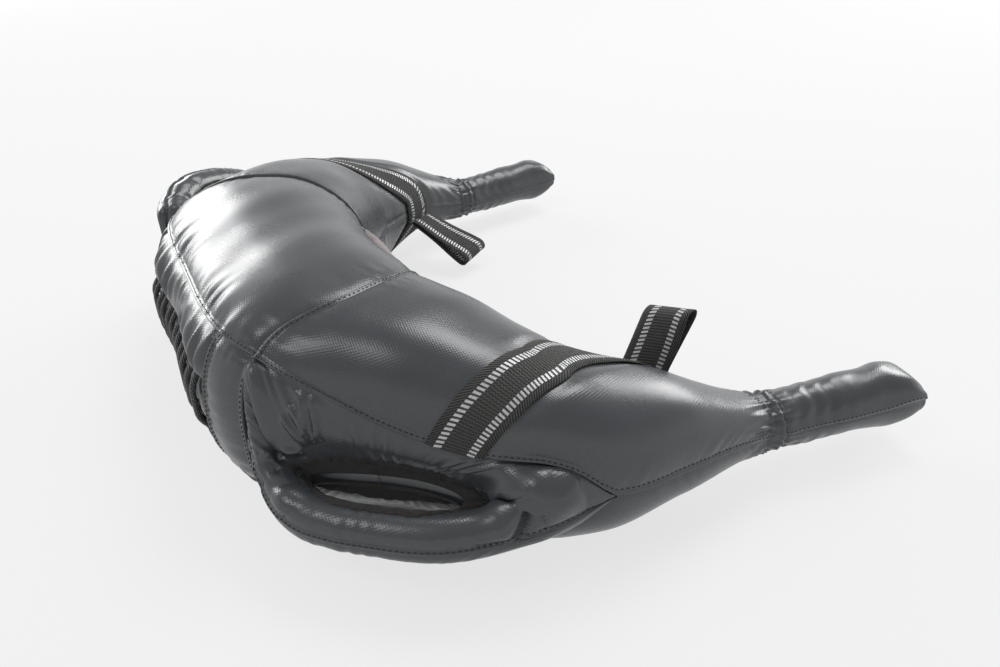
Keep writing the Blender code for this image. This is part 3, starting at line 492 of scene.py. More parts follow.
def ramp(value):
    """Smooth step from 0 to 1."""
    t = np.clip(value, 0.0, 1.0)
    return t * t * (3.0 - 2.0 * t)


def unit(vectors):
    """Vectors at length 1."""
    return vectors / np.maximum(np.linalg.norm(vectors, axis=-1, keepdims=True), 1e-12)


def signed_power(value, power):
    """A power of the value's size, with the value's sign."""
    return np.sign(value) * np.abs(value) ** power


def bell(off, width):
    """1 at zero, and near zero from about two widths on."""
    return np.exp(-((off / width) ** 2))


def full_turn(count):
    """Even angles once round."""
    return np.linspace(0.0, 2 * math.pi, count, endpoint=False)


def centre(share):
    """Plan place of a section's centre."""
    plan = along(CENTRELINE, share)
    x = plan[..., 0] * HORN_HALF_WIDTH
    y = FOOTPRINT_SHIFT - plan[..., 1] * HORN_DEPTH
    return np.stack([x, y, np.zeros_like(x)], axis=-1)


def heading(share):
    """Unit vector along the centreline, towards the right horn."""
    share = np.asarray(share, dtype=float)
    return unit(centre(share + STEP) - centre(share - STEP))


def outward(share):
    """Unit vector from the centreline to the outer side."""
    forward = heading(share)
    return np.stack([-forward[..., 1], forward[..., 0], np.zeros_like(forward[..., 0])], axis=-1)


HALF_LENGTH = float(np.linalg.norm(np.diff(centre(np.linspace(0.0, 1.0, 41)), axis=0), axis=1).sum())


def section(share):
    """Inner and outer reach, and the heights of middle, top and bottom."""
    rows = along(SECTIONS, share)
    reaches = rows[..., :2] * BODY_WIDTH / 2
    heights = rows[..., 2:] * BODY_HEIGHT
    return reaches[..., 0], reaches[..., 1], heights[..., 0], heights[..., 1], heights[..., 2]


def place(share, reach, height):
    """The point of a section at a reach from its centre and a height."""
    point = centre(share) + outward(share) * np.asarray(reach)[..., None]
    point[..., 2] = height
    return point


def core_point(share):
    """The middle of a section."""
    return place(share, np.zeros_like(share), section(share)[2])


def floor_height(share):
    """The body's underside clears the webbing where the straps pass below it."""
    lift = WEBBING_THICKNESS + WEBBING_GAP
    return lift * ramp((np.abs(share) - STRAP_CLEAR_START_SHARE) / STRAP_CLEAR_RAMP_SHARE)


def body_profile(share, angle, depth=0.0):
    """Reach and height of the body's surface, or of a layer at a depth below it."""
    inner, outer, middle, top, bottom = section(share)
    cosine = np.cos(angle)
    sine = np.sin(angle)
    reach = np.where(cosine > 0, outer, inner)
    rise = np.where(sine > 0, top - middle, middle - bottom)
    curve = 2.0 / SECTION_POWER
    normal_x = signed_power(cosine, 2.0 - curve) / reach
    normal_z = signed_power(sine, 2.0 - curve) / rise
    size = np.hypot(normal_x, normal_z)
    out = reach * signed_power(cosine, curve) - normal_x / size * depth
    height = middle + rise * signed_power(sine, curve) - normal_z / size * depth
    return out, np.maximum(height, floor_height(share) + depth)


def body_point(share, angle, depth=0.0):
    """A point on the body's surface, or at a depth below it."""
    reach, height = body_profile(share, angle, depth)
    return place(share, reach, height)


def seam_angle(share, lower=False):
    """Angle of the outer top seam, or of the outer bottom seam."""
    share = np.abs(np.asarray(share, dtype=float))
    _, _, middle, top, bottom = section(share)
    rows = along(SEAMS, np.minimum(share, GUSSET_TIP_SHARE))
    if lower:
        level = (middle - rows[..., 1] * BODY_HEIGHT) / (middle - bottom)
    else:
        level = (rows[..., 0] * BODY_HEIGHT - middle) / (top - middle)
    angle = np.arcsin(np.clip(level, 0.0, 1.0) ** (SECTION_POWER / 2.0))
    angle = np.where(share >= GUSSET_TIP_SHARE, 0.0, angle)
    return -angle if lower else angle


def height_angle(share, height):
    """Angle of the outer side at a height."""
    _, _, middle, top, bottom = section(share)
    rise = np.where(height > middle, top - middle, middle - bottom)
    level = np.minimum(np.abs(height - middle) / rise, 1.0)
    return np.sign(height - middle) * np.arcsin(level ** (SECTION_POWER / 2.0))


def bowed(share, angle):
    """The cross seams bow towards the horns over the top of the body."""
    swing = (angle - CROSS_SEAM_BOW_START) / (CROSS_SEAM_BOW_END - CROSS_SEAM_BOW_START)
    bow = CROSS_SEAM_BOW_SHARE * np.sin(math.pi * np.clip(swing, 0.0, 1.0)) ** 2
    near = ramp(1.0 - np.abs(np.abs(share) - CROSS_SEAM_SHARE) / CROSS_SEAM_BOW_FADE_SHARE)
    return share + np.sign(share) * bow * near


# Relief of the covers


def ripple(run, pitch, seed):
    """Uneven waves along a seam, between -1 and 1."""
    turn = 2 * math.pi * run / pitch
    phase = turn + 1.3 * np.sin(0.37 * turn + seed) + 0.9 * np.sin(0.21 * turn + 2.3 * seed)
    swell = np.maximum(0.5 + 0.5 * np.sin(0.143 * turn + 1.7 * seed), 0.12)
    return np.sin(phase) * swell


def unevenness(points, size, seed):
    """Slow waves in space, between about -1 and 1."""
    value = np.zeros(points.shape[:-1])
    for i in range(5):
        swing = seed + 2.4 * i
        course = np.array([math.sin(swing), math.cos(1.3 * swing), math.sin(0.7 * swing + 1.0)])
        value += np.sin(points @ course / size * (1.0 + 0.35 * i) + 1.9 * swing)
    return value / 3.2


def bump_line(points, start, end, width, sharp=False):
    """How near the points are to a line, 1 on it, fading at its ends; sharp at a crease."""
    course = np.asarray(end) - np.asarray(start)
    length = np.linalg.norm(course)
    offset = points - start
    t = offset @ course / length**2
    nearest = np.clip(t, 0.0, 1.0)[..., None] * course
    off = np.linalg.norm(offset - nearest, axis=-1)
    fade = np.sin(math.pi * np.clip(0.06 + 0.88 * t, 0.0, 1.0)) ** 0.6
    return np.exp(-((off / width) ** (1.15 if sharp else 2.0))) * fade


def edge_relief(kind, off, run, seed, pucker):
    """Height of a cover at a distance from its edge, by the way the edge is sewn."""
    amount, pitch, reach = pucker
    near = off / reach
    close = 2.1 * near
    waves = amount * ripple(run, pitch, seed) * near * np.exp(0.5 - 0.5 * near**2)
    fine = ripple(run, 0.53 * pitch, seed + 4.0) * close * np.exp(0.5 - 0.5 * close**2)
    waves = waves + 0.45 * amount * fine
    if kind == "hem":
        return waves
    waves = waves - PINCH_DEPTH * np.exp(-off / PINCH_REACH)
    if kind == "under":
        return waves - UNDER_DEPTH * ramp(1.0 - off / (3 * UNDER_REACH))
    fold = ramp(off / LAP_EDGE)
    stitched = -0.35 * LAP_RISE * bell(off - STITCH_OFFSET, STITCH_DENT_WIDTH)
    ridge = LAP_RIDGE * bell(off - LAP_RIDGE_AT, LAP_RIDGE_WIDTH) * fold
    band = ramp((LAP_WIDTH - off) / (LAP_WIDTH * 0.4)) * (LAP_RISE * fold + stitched)
    return waves + band + ridge + LAP_TURN * (fold - 1.0)


def grid_shares(lengths, first, last):
    """Shares of a run whose grid lines keep their distance from both ends."""
    head = EDGE_LINES[first]
    tail = EDGE_LINES[last]
    middle = float(np.mean(lengths))
    count = max(int((middle - head[-1] - tail[-1]) / COVER_STEP), 3)
    low = head[-1] / lengths
    high = 1.0 - tail[-1] / lengths
    rows = [offset / lengths for offset in head]
    rows += [low + (high - low) * i / count for i in range(1, count)]
    rows += [1.0 - offset / lengths for offset in reversed(tail)]
    return np.array(rows)


def run_lengths(points, axis):
    """Lengths from the start of each grid line."""
    steps = np.linalg.norm(np.diff(points, axis=axis), axis=-1)
    zero = np.zeros_like(np.take(steps, [0], axis=axis))
    return np.concatenate([zero, np.cumsum(steps, axis=axis)], axis=axis)


def grid_uvs(points, first=0):
    """Lengths along both directions of a grid, the first one's before the other's."""
    return np.stack([run_lengths(points, first), run_lengths(points, 1 - first)], axis=-1)


def grid_normals(points, inside):
    """Normals of a grid that face away from the inner points."""
    normal = unit(np.cross(np.gradient(points, axis=0), np.gradient(points, axis=1)))
    side = np.sum(normal * (points - inside), axis=-1)
    return normal if np.median(side) > 0 else -normal


class Cover:
    """One cover panel: its grid of places, its relief and its finished points."""

    def __init__(self, name, shares, angles, edges, seed, puckers):
        self.name = name
        self.edges = edges
        self.seed = seed
        self.puckers = puckers
        self.shares = shares
        self.angles = angles
        t = np.linspace(0.0, 1.0, 41)
        coarse = self.base(*np.meshgrid(t, t, indexing="ij"))
        rows = grid_shares(run_lengths(coarse, 0)[-1], edges[0], edges[1])
        columns = grid_shares(run_lengths(coarse, 1)[:, -1], edges[2], edges[3])
        row_at = np.mean(rows, axis=1)
        column_at = np.mean(columns, axis=1)
        s_grid = np.array([np.interp(column_at, t, row) for row in rows])
        t_grid = np.array([np.interp(row_at, t, column) for column in columns]).T
        self.points = self.base(s_grid, t_grid)
        self.offsets = self.edge_distances()
        self.normals = grid_normals(self.points, core_point(self.share))

    def base(self, s, t):
        """Points of the plain body at shares of the panel's two directions."""
        share = self.shares[0] + (self.shares[1] - self.shares[0]) * s
        low = self.angles[0](share)
        high = self.angles[1](share)
        self.angle = low + (high - low) * t
        self.share = bowed(share, self.angle)
        return body_point(self.share, self.angle)

    def edge_distances(self):
        """Distance of each point from each of the four edges."""
        by_s = run_lengths(self.points, 0)
        by_t = run_lengths(self.points, 1)
        offsets = [by_s, by_s[-1] - by_s, by_t, by_t[:, -1:] - by_t]
        return [off - UNDER_REACH if kind == "under" else off for off, kind in zip(offsets, self.edges)]

    def relief(self, pressed):
        """Height of the finished cover over the plain body."""
        near = [np.maximum(off, 0.0) for off in self.offsets]
        height = PUFF * (1.0 - np.exp(-np.minimum.reduce(near) / PUFF_REACH))
        height = height + UNEVEN * unevenness(self.points, UNEVEN_SIZE, 1.7)
        height = height + SLOW_UNEVEN * unevenness(self.points, SLOW_UNEVEN_SIZE, 4.3)
        runs = [self.offsets[2], self.offsets[2], self.offsets[0], self.offsets[0]]
        for i, kind in enumerate(self.edges):
            pucker = PUCKERS[self.puckers[i]]
            height = height + edge_relief(kind, near[i], runs[i], self.seed + i, pucker)
        return height * (1.0 - pressed) - STRAP_PRESS * pressed

    def finish(self, pressed):
        """Move the points along their normals."""
        self.surface = self.points + self.normals * self.relief(pressed)[..., None]
        self.surface[..., 2] = np.maximum(self.surface[..., 2], 0.0)


def seam_run(cover, edge):
    """The finished line of stitches along one edge, and its normals."""
    axis = 0 if edge < 2 else 1
    profile = np.median(cover.offsets[edge], axis=1 - axis)
    row = int(np.argmin(np.abs(profile - STITCH_OFFSET)))
    return np.take(cover.surface, row, axis=axis), np.take(cover.normals, row, axis=axis)


# Meshes


def mesh_object(name, points, faces, material, uvs=None, smooth=True):
    """A mesh with its material and, if given, its surface coordinates in metres."""
    mesh = bpy.data.meshes.new(name)
    mesh.from_pydata([tuple(p) for p in points], [], faces)
    if uvs is not None:
        layer = mesh.uv_layers.new(name="metres")
        corners = np.empty(len(mesh.loops), dtype=np.int64)
        mesh.loops.foreach_get("vertex_index", corners)
        layer.data.foreach_set("uv", np.asarray(uvs, dtype=np.float32)[corners].ravel())
    if smooth:
        mesh.shade_smooth()
    mesh.materials.append(material)
    item = bpy.data.objects.new(name, mesh)
    bpy.context.scene.collection.objects.link(item)
    return item


def grid_faces(rows, columns, flip=False, wrap=False):
    """Quads between the rows of a grid."""
    faces = []
    for i in range(rows - 1):
        for j in range(columns if wrap else columns - 1):
            k = (j + 1) % columns
            face = [i * columns + j, i * columns + k, (i + 1) * columns + k, (i + 1) * columns + j]
            faces.append(face[::-1] if flip else face)
    return faces


def facing(points, normals):
    """Whether a grid's faces need turning to face along its normals."""
    way = np.cross(np.gradient(points, axis=0), np.gradient(points, axis=1))
    return float(np.median(np.sum(way * normals, axis=-1))) > 0


def grid_object(name, points, normals, material, uvs, wrap=False):
    """A smooth surface through a grid."""
    rows, columns = points.shape[:2]
    faces = grid_faces(rows, columns, flip=facing(points, normals), wrap=wrap)
    return mesh_object(name, points.reshape(-1, 3), faces, material, uvs.reshape(-1, 2))


def weld(item):
    """Join the first and last columns of a ring, which lie on each other."""
    modifier = item.modifiers.new("weld", "WELD")
    modifier.merge_threshold = WELD_DISTANCE
    return item


def ring_object(name, points, normals, material, uvs, goes_round=True):
    """A closed ring of quads; its first column is repeated so that the weave stays whole."""
    last = uvs[:, :1].copy()
    if goes_round:
        last[..., 0] = uvs[:, -1:, 0] + np.linalg.norm(points[:, :1] - points[:, -1:], axis=-1)
    points, normals = (np.concatenate([rows, rows[:, :1]], axis=1) for rows in (points, normals))
    return weld(grid_object(name, points, normals, material, np.concatenate([uvs, last], axis=1)))


def joined(parts):
    """Several pieces of mesh as one list of vertices and one of faces."""
    vertices = []
    faces = []
    for points, quads in parts:
        faces += [[len(vertices) + i for i in quad] for quad in quads]
        vertices += points
    return vertices, faces


def cover_object(cover, material):
    """The mesh of one cover panel."""
    run = run_lengths(cover.points, 1)
    middle = float(np.median(cover.angle))
    start = [np.interp(middle, *rising(angles, line)) for angles, line in zip(cover.angle, run)]
    uvs = np.stack([cover.share * HALF_LENGTH, run - np.array(start)[:, None]], axis=-1)
    return grid_object(cover.name, cover.surface, cover.normals, material, uvs)


def rising(keys, values):
    """Keys and values in rising order of the keys."""
    return (keys, values) if keys[-1] > keys[0] else (keys[::-1], values[::-1])


def resample(points, normals, pitch):
    """Points at equal steps along a line."""
    steps = np.linalg.norm(np.diff(points, axis=0), axis=1)
    run = np.concatenate([[0.0], np.cumsum(steps)])
    keys = np.arange(0.0, run[-1], pitch)
    place_at = np.stack([np.interp(keys, run, points[:, k]) for k in range(3)], axis=1)
    normal_at = np.stack([np.interp(keys, run, normals[:, k]) for k in range(3)], axis=1)
    return place_at, unit(normal_at)


def stitch_parts(points, normals):
    """Short threads that dive in and out along a line."""
    fine, up = resample(points, normals, STITCH_PITCH / 8)
    span = int(8 * STITCH_LENGTH / STITCH_PITCH)
    vertices = []
    faces = []
    sides = 6
    for start in range(0, len(fine) - span - 1, 8):
        first = len(vertices)
        for i in range(5):
            t = i / 4
            j = start + int(round(span * t))
            course = unit(fine[min(j + 1, len(fine) - 1)] - fine[max(j - 1, 0)])
            across = unit(np.cross(course, up[j]))
            arch = math.sin(math.pi * t)
            middle = fine[j] + up[j] * STITCH_RADIUS * (1.6 * arch - 0.9)
            radius = STITCH_RADIUS * (0.75 + 0.25 * arch)
            for k in range(sides):
                swing = 2 * math.pi * k / sides
                vertices.append(middle + (across * math.cos(swing) + up[j] * math.sin(swing)) * radius)
        for i in range(4):
            for k in range(sides):
                m = (k + 1) % sides
                a = first + i * sides
                faces.append([a + k, a + m, a + sides + m, a + sides + k])
        faces.append([first + k for k in reversed(range(sides))])
        faces.append([first + 4 * sides + k for k in range(sides)])
    return vertices, faces


def stitches(name, lines, material):
    """One object with the stitches of several lines."""
    vertices, faces = joined([stitch_parts(points, normals) for points, normals in lines])
    return mesh_object(name, vertices, faces, material)


def flat_tube(name, points, ups, radius, flatness, material, sides=14):
    """A tube along a path, flattened along the ups."""
    course = unit(np.gradient(points, axis=0))
    across = unit(np.cross(course, ups))
    rise = unit(np.cross(across, course))
    swing = full_turn(sides)[:, None]
    spokes = across[:, None] * np.cos(swing) + rise[:, None] * flatness * np.sin(swing)
    rings = points[:, None] + spokes * radius
    run = run_lengths(points[:, None], 0)
    uvs = np.stack(np.broadcast_arrays(swing.T * radius, run), axis=-1)
    return grid_object(name, rings, rings - points[:, None], material, uvs, wrap=True)


# Materials


class Shader:
    """A Principled material and its node tree."""

    def __init__(self, name, colour, roughness):
        self.material = bpy.data.materials.new(name)
        self.material.use_nodes = True
        self.tree = self.material.node_tree
        self.main = self.tree.nodes["Principled BSDF"]
        self.main.inputs["Base Color"].default_value = (*colour, 1.0)
        self.main.inputs["Roughness"].default_value = roughness

    def node(self, kind, **values):
        """Add a node and set its properties."""
        node = self.tree.nodes.new(kind)
        for key, value in values.items():
            setattr(node, key, value)
        return node

    def link(self, output, socket):
        """Join two sockets."""
        self.tree.links.new(output, socket)

    def maths(self, operation, *values):
        """A calculation on numbers or sockets."""
        node = self.node("ShaderNodeMath", operation=operation)
        for socket, value in zip(node.inputs, values):
            if isinstance(value, (int, float)):
                socket.default_value = value
            else:
                self.link(value, socket)
        return node.outputs["Value"]

    def metres(self):
        """Surface coordinates in metres, as two sockets."""
        uv = self.node("ShaderNodeUVMap", uv_map="metres")
        split = self.node("ShaderNodeSeparateXYZ")
        self.link(uv.outputs["UV"], split.inputs["Vector"])
        return split.outputs["X"], split.outputs["Y"]

    def waves(self, value, pitch):
        """A sine of a length, once in each pitch, between -1 and 1."""
        return self.maths("SINE", self.maths("MULTIPLY", value, 2 * math.pi / pitch))

    def noise(self, scale, detail=3.0, roughness=0.55):
        """Noise on the object's own coordinates."""
        noise = self.node("ShaderNodeTexNoise")
        for key, value in (("Scale", scale), ("Detail", detail), ("Roughness", roughness)):
            noise.inputs[key].default_value = value
        self.link(self.node("ShaderNodeTexCoord").outputs["Object"], noise.inputs["Vector"])
        return noise.outputs["Fac"]

    def mix(self, factor, first, second):
        """A colour between two colours."""
        mix = self.node("ShaderNodeMix", data_type="RGBA")
        for socket, value in ((mix.inputs[6], first), (mix.inputs[7], second)):
            if isinstance(value, tuple):
                socket.default_value = (*value, 1.0)
            else:
                self.link(value, socket)
        self.link(factor, mix.inputs[0])
        return mix.outputs[2]

    def choose(self, factor, first, second):
        """A number between two numbers."""
        node = self.node("ShaderNodeMix", data_type="FLOAT")
        for i, value in ((0, factor), (2, first), (3, second)):
            self.link(value, node.inputs[i])
        return node.outputs[0]

    def spread(self, value, low, high, to_low=0.0, to_high=1.0):
        """Map a number from one range to another, kept inside it."""
        node = self.node("ShaderNodeMapRange")
        self.link(value, node.inputs["Value"])
        names = ("From Min", "From Max", "To Min", "To Max")
        for key, number in zip(names, (low, high, to_low, to_high)):
            node.inputs[key].default_value = number
        return node.outputs["Result"]

    def shades(self, factor, colour, dark, light):
        """A mix between a darker and a lighter shade of one colour."""
        return self.mix(factor, *(tuple(c * share for c in colour) for share in (dark, light)))

    def tint(self, tone):
        """Colour the surface."""
        self.link(tone, self.main.inputs["Base Color"])

    def emboss(self, *layers):
        """Bumps over each other, each a height from 0 to 1 and its depth in metres."""
        normal = None
        for height, depth in layers:
            bump = self.node("ShaderNodeBump")
            bump.inputs["Strength"].default_value = 1.0
            bump.inputs["Distance"].default_value = depth
            self.link(height, bump.inputs["Height"])
            if normal is not None:
                self.link(normal, bump.inputs["Normal"])
            normal = bump.outputs["Normal"]
        self.link(normal, self.main.inputs["Normal"])


def leather_material(name, colour, roughness):
    """Coated synthetic leather with a fine woven emboss."""
    shader = Shader(name, colour, roughness)
    u, v = shader.metres()
    across = shader.waves(u, LEATHER_WEAVE_PITCH)
    down = shader.waves(v, LEATHER_WEAVE_PITCH)
    cells = shader.spread(shader.maths("MULTIPLY", across, down), -1.0, 1.0)
    cloud = shader.spread(shader.noise(9.0, 4.0), 0.35, 0.65)
    shader.tint(shader.shades(cloud, colour, 0.92, 1.08))
    rough = shader.maths("MULTIPLY_ADD", shader.noise(38.0, 5.0, 0.6), 0.10, roughness - 0.05)
    shader.link(rough, shader.main.inputs["Roughness"])
    shader.main.inputs["Specular IOR Level"].default_value = 0.55
    shader.emboss((shader.noise(420.0, 4.0), LEATHER_GRAIN_DEPTH), (cells, LEATHER_WEAVE_DEPTH))
    return shader.material


def smooth_leather_material(name, colour, roughness):
    """Soft matt leather with a fine pore grain."""
    shader = Shader(name, colour, roughness)
    cloud = shader.spread(shader.noise(26.0, 4.0), 0.3, 0.7)
    shader.tint(shader.shades(cloud, colour, 0.88, 1.12))
    shader.main.inputs["Sheen Weight"].default_value = 0.25
    shader.main.inputs["Sheen Roughness"].default_value = 0.45
    shader.emboss((shader.noise(900.0), PORE_DEPTH))
    return shader.material


def webbing_material(name, colour):
    """Black webbing with two dashed reflective stripes."""
    shader = Shader(name, colour, 0.85)
    u, v = shader.metres()
    middle = shader.maths("ABSOLUTE", shader.maths("SUBTRACT", u, WEBBING_WIDTH / 2))
    stripe_off = shader.maths("ABSOLUTE", shader.maths("SUBTRACT", middle, STRIPE_AT))
    in_stripe = shader.maths("LESS_THAN", stripe_off, STRIPE_HALF_WIDTH)
    in_selvage = shader.maths("GREATER_THAN", middle, SELVAGE_AT)
    dash_wave = shader.waves(shader.maths("MULTIPLY_ADD", middle, 0.25, v), DASH_PITCH)
    in_dash = shader.spread(dash_wave, -0.35, 0.0)
    silver = shader.maths("MULTIPLY", in_stripe, in_dash)
    ribs_across = shader.waves(u, RIB_WIDTH_PITCH)
    ribs_down = shader.waves(shader.maths("MULTIPLY_ADD", ribs_across, RIB_SWAY, v), RIB_PITCH)
    body_weave = shader.spread(shader.maths("MULTIPLY", ribs_across, ribs_down), -1.0, 1.0)
    slanted = shader.waves(shader.maths("MULTIPLY_ADD", middle, 1.1, v), RIB_PITCH)
    weave = shader.choose(in_selvage, body_weave, shader.spread(slanted, -1.0, 1.0))
    shader.tint(shader.mix(silver, shader.shades(weave, colour, 0.3, 4.6), SILVER_COLOUR))
    shader.link(shader.spread(silver, 0.0, 1.0, 0.82, 0.42), shader.main.inputs["Roughness"])
    shader.link(shader.spread(silver, 0.0, 1.0, 0.0, 0.3), shader.main.inputs["Metallic"])
    height = shader.choose(in_stripe, weave, in_dash)
    shader.emboss((shader.noise(2400.0, 2.0), FIBRE_DEPTH), (height, RIB_DEPTH))
    return shader.material


def cloth_material(name, colour, pitch, depth, sheen):
    """Plain woven cloth or braid."""
    shader = Shader(name, colour, 0.9)
    u, v = shader.metres()
    first = shader.waves(shader.maths("ADD", u, v), pitch)
    second = shader.waves(shader.maths("SUBTRACT", u, v), pitch)
    weave = shader.spread(shader.maths("MAXIMUM", first, second), -0.4, 1.0)
    fluff = shader.noise(700.0, 4.0, 0.7)
    shader.tint(shader.shades(shader.maths("MULTIPLY", weave, fluff), colour, 0.35, 2.4))
    shader.main.inputs["Sheen Weight"].default_value = sheen
    shader.emboss((fluff, FLUFF_DEPTH), (weave, depth))
    return shader.material


def noise_material(name, colour, roughness, noise, dark, light, depth):
    """A fine rough surface: stuffing, foam, pouch cloth or sewing thread."""
    shader = Shader(name, colour, roughness)
    grain = shader.noise(*noise)
    shader.tint(shader.shades(grain, colour, dark, light))
    shader.emboss((grain, depth))
    return shader.material


# Body covers


def constant(angle):
    """The same angle at every share."""
    return lambda share: np.full_like(np.asarray(share, dtype=float), angle)


def upper_seam(share):
    """Angle of the outer top seam."""
    return seam_angle(share)


def lower_seam(share):
    """Angle of the outer bottom seam."""
    return seam_angle(share, lower=True)


def strap_share(angle):
    """The strap's distance shares at angles, the same above and below."""
    return along(STRAP_PATH, math.pi - np.abs(math.pi - np.asarray(angle)))[..., 0]


def surface_frame(side, share, angle):
    """Places on the body, their slopes by share and by angle, and their outward normals."""
    share = np.asarray(share, dtype=float)
    angle = np.asarray(angle, dtype=float)
    point = body_point(side * share, angle)
    by_share = (body_point(side * (share + STEP), angle) - point) / STEP
    by_angle = (body_point(side * share, angle + STEP) - point) / STEP
    normal = unit(np.cross(by_share, by_angle))
    way = np.sum(normal * (point - core_point(side * share)), axis=-1, keepdims=True)
    return point, by_share, by_angle, np.where(way < 0, -normal, normal)


def strap_place(side, shift, angle):
    """Shares and angles on the body, at shifts across the strap from its middle."""
    share = strap_share(angle)
    point, by_share, by_angle, normal = surface_frame(side, share, angle)
    slope = (strap_share(angle + STEP) - strap_share(angle - STEP)) / (2 * STEP)
    course = by_share * slope[..., None] + by_angle
    target = point - unit(np.cross(normal, course)) * side * np.asarray(shift)[..., None]
    for _ in range(STRAP_ROUNDS):
        here, by_share, by_angle, _ = surface_frame(side, share, angle)
        miss = target - here
        share_share = np.sum(by_share * by_share, axis=-1)
        angle_angle = np.sum(by_angle * by_angle, axis=-1)
        both = np.sum(by_share * by_angle, axis=-1)
        along_share = np.sum(by_share * miss, axis=-1)
        along_angle = np.sum(by_angle * miss, axis=-1)
        size = share_share * angle_angle - both**2
        share_move = (along_share * angle_angle - along_angle * both) / size
        angle_move = (along_angle * share_share - along_share * both) / size
        share = share + np.clip(share_move, -STRAP_MOVE, STRAP_MOVE)
        angle = angle + np.clip(angle_move, -STRAP_MOVE, STRAP_MOVE)
    return share, angle


def even_angle(angle, back=False):
    """Angles whose steps are about even lengths round the section, or the way back."""
    power = SECTION_POWER / 2.0 if back else 2.0 / SECTION_POWER
    bent = np.arccos(signed_power(np.cos(angle), power))
    return np.where(np.sin(angle) >= 0, bent, 2 * math.pi - bent)


def strap_end(side, shift, lower):
    """The angles of the strap's middle where its lines reach the outer seam."""
    near = np.full(len(shift), -STRAP_END_LIMIT / 4)
    far = np.full(len(shift), STRAP_END_LIMIT)
    for _ in range(20):
        swing = (near + far) / 2
        share, angle = strap_place(side, shift, 2 * math.pi - swing if lower else swing)
        if lower:
            beyond = 2 * math.pi + seam_angle(share, lower=True) - angle
        else:
            beyond = angle - seam_angle(share)
        short = beyond < STRAP_END_GAP
        near = np.where(short, swing, near)
        far = np.where(short, far, swing)
    swing = (near + far) / 2
    return 2 * math.pi - swing if lower else swing


def strap_lines(side):
    """Points of the body under the strap, from edge to edge, and their normals."""
    shift = np.linspace(-WEBBING_WIDTH / 2, WEBBING_WIDTH / 2, STRAP_ROWS)
    first = even_angle(strap_end(side, shift, lower=False))[:, None]
    last = even_angle(strap_end(side, shift, lower=True))[:, None]
    swing = even_angle(first + (last - first) * np.linspace(0.0, 1.0, STRAP_POINTS), back=True)
    share, angle = strap_place(side, np.broadcast_to(shift[:, None], swing.shape), swing)
    point, _, _, normal = surface_frame(side, share, angle)
    return point, normal


def press(points, strap_middles):
    """How much the straps hold the cover down, from 0 to 1."""
    flat = points.reshape(-1, 3)
    nearest = np.full(len(flat), np.inf)
    for line in strap_middles:
        for point in line[::2]:
            nearest = np.minimum(nearest, np.linalg.norm(flat - point, axis=1))
    return ramp((WEBBING_WIDTH * 0.78 - nearest) / (WEBBING_WIDTH * 0.28)).reshape(points.shape[:-1])


def cover_rows():
    """Each cover's name, solid, shares, angles, kinds of its four edges, seed and puckers."""
    pad_edge = INNER_SEAM_ANGLE - NECK_PAD_HALF_ANGLE
    middle = (-CROSS_SEAM_SHARE, CROSS_SEAM_SHARE)
    opening = (-OPENING_END_SHARE, OPENING_END_SHARE)
    back_end = (OPENING_END_SHARE, CROSS_SEAM_SHARE)
    horn = (CROSS_SEAM_SHARE, 1.0 - NECK_CUT_LENGTH / HALF_LENGTH * 0.4)
    rows = [
        ("centre_top_cover", "centre_top_panel", middle, (upper_seam, constant(pad_edge)),
         ("under", "under", "lap", "under"), 0.4, ("cross", "cross", "top", "pad")),
        ("centre_bottom_cover", "centre_bottom_panel", middle, (constant(-pad_edge), lower_seam),
         ("under", "under", "under", "lap"), 1.4, ("plain", "plain", "plain", "top")),
        ("back_upper_flap_cover", "back_upper_flap", opening, (constant(FLAP_EDGE_ANGLE), upper_seam),
         ("under", "under", "hem", "under"), 2.1, ("plain", "plain", "laced", "flap")),
        ("back_lower_flap_cover", "back_lower_flap", opening, (lower_seam, constant(-FLAP_EDGE_ANGLE)),
         ("under", "under", "under", "hem"), 2.9, ("plain", "plain", "flap", "laced")),
    ]
    pairs = [
        ("back_end_cover_", "back_end_panel_", back_end, (lower_seam, upper_seam),
         ("lap", "lap", "under", "under"), 3.3, ("plain", "plain", "plain", "end")),
        ("horn_top_cover_", "horn_top_panel_", horn, (upper_seam, constant(INNER_SEAM_ANGLE)),
         ("lap", "lap", "lap", "lap"), 4.2, ("plain", "neck", "plain", "inner")),
        ("horn_bottom_cover_", "horn_bottom_panel_", horn, (constant(-INNER_SEAM_ANGLE), lower_seam),
         ("lap", "lap", "under", "under"), 5.2, ("plain", "neck", "plain", "plain")),
    ]
    for cover, node, (first, last), angles, edges, seed, puckers in pairs:
        for name, side in SIDES.items():
            shares = (side * first, side * last)
            rows.append((cover + name, node + name, shares, angles, edges, seed + side, puckers))
    return rows


def build_covers(strap_middles, leather):
    """The finished covers of the body, which stand in for their solids."""
    covers = {}
    for name, node, *shape in cover_rows():
        cover = Cover(name, *shape)
        cover.finish(press(cover.points, strap_middles))
        item = cover_object(cover, leather)
        stand_in(item, BAG, "leather", node)
        covers[name] = cover
    return covers


def stand_in(item, body, slot, *nodes):
    """Tie a piece to its body and hide the solids that it replaces; the slot is not used."""
    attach(item, body)
    if nodes:
        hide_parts(*nodes)


# Side handles


def turned(pair, swing):
    """A pair of coordinates turned by an angle."""
    cosine = math.cos(swing)
    sine = math.sin(swing)
    return np.array([pair[0] * cosine - pair[1] * sine, pair[0] * sine + pair[1] * cosine])


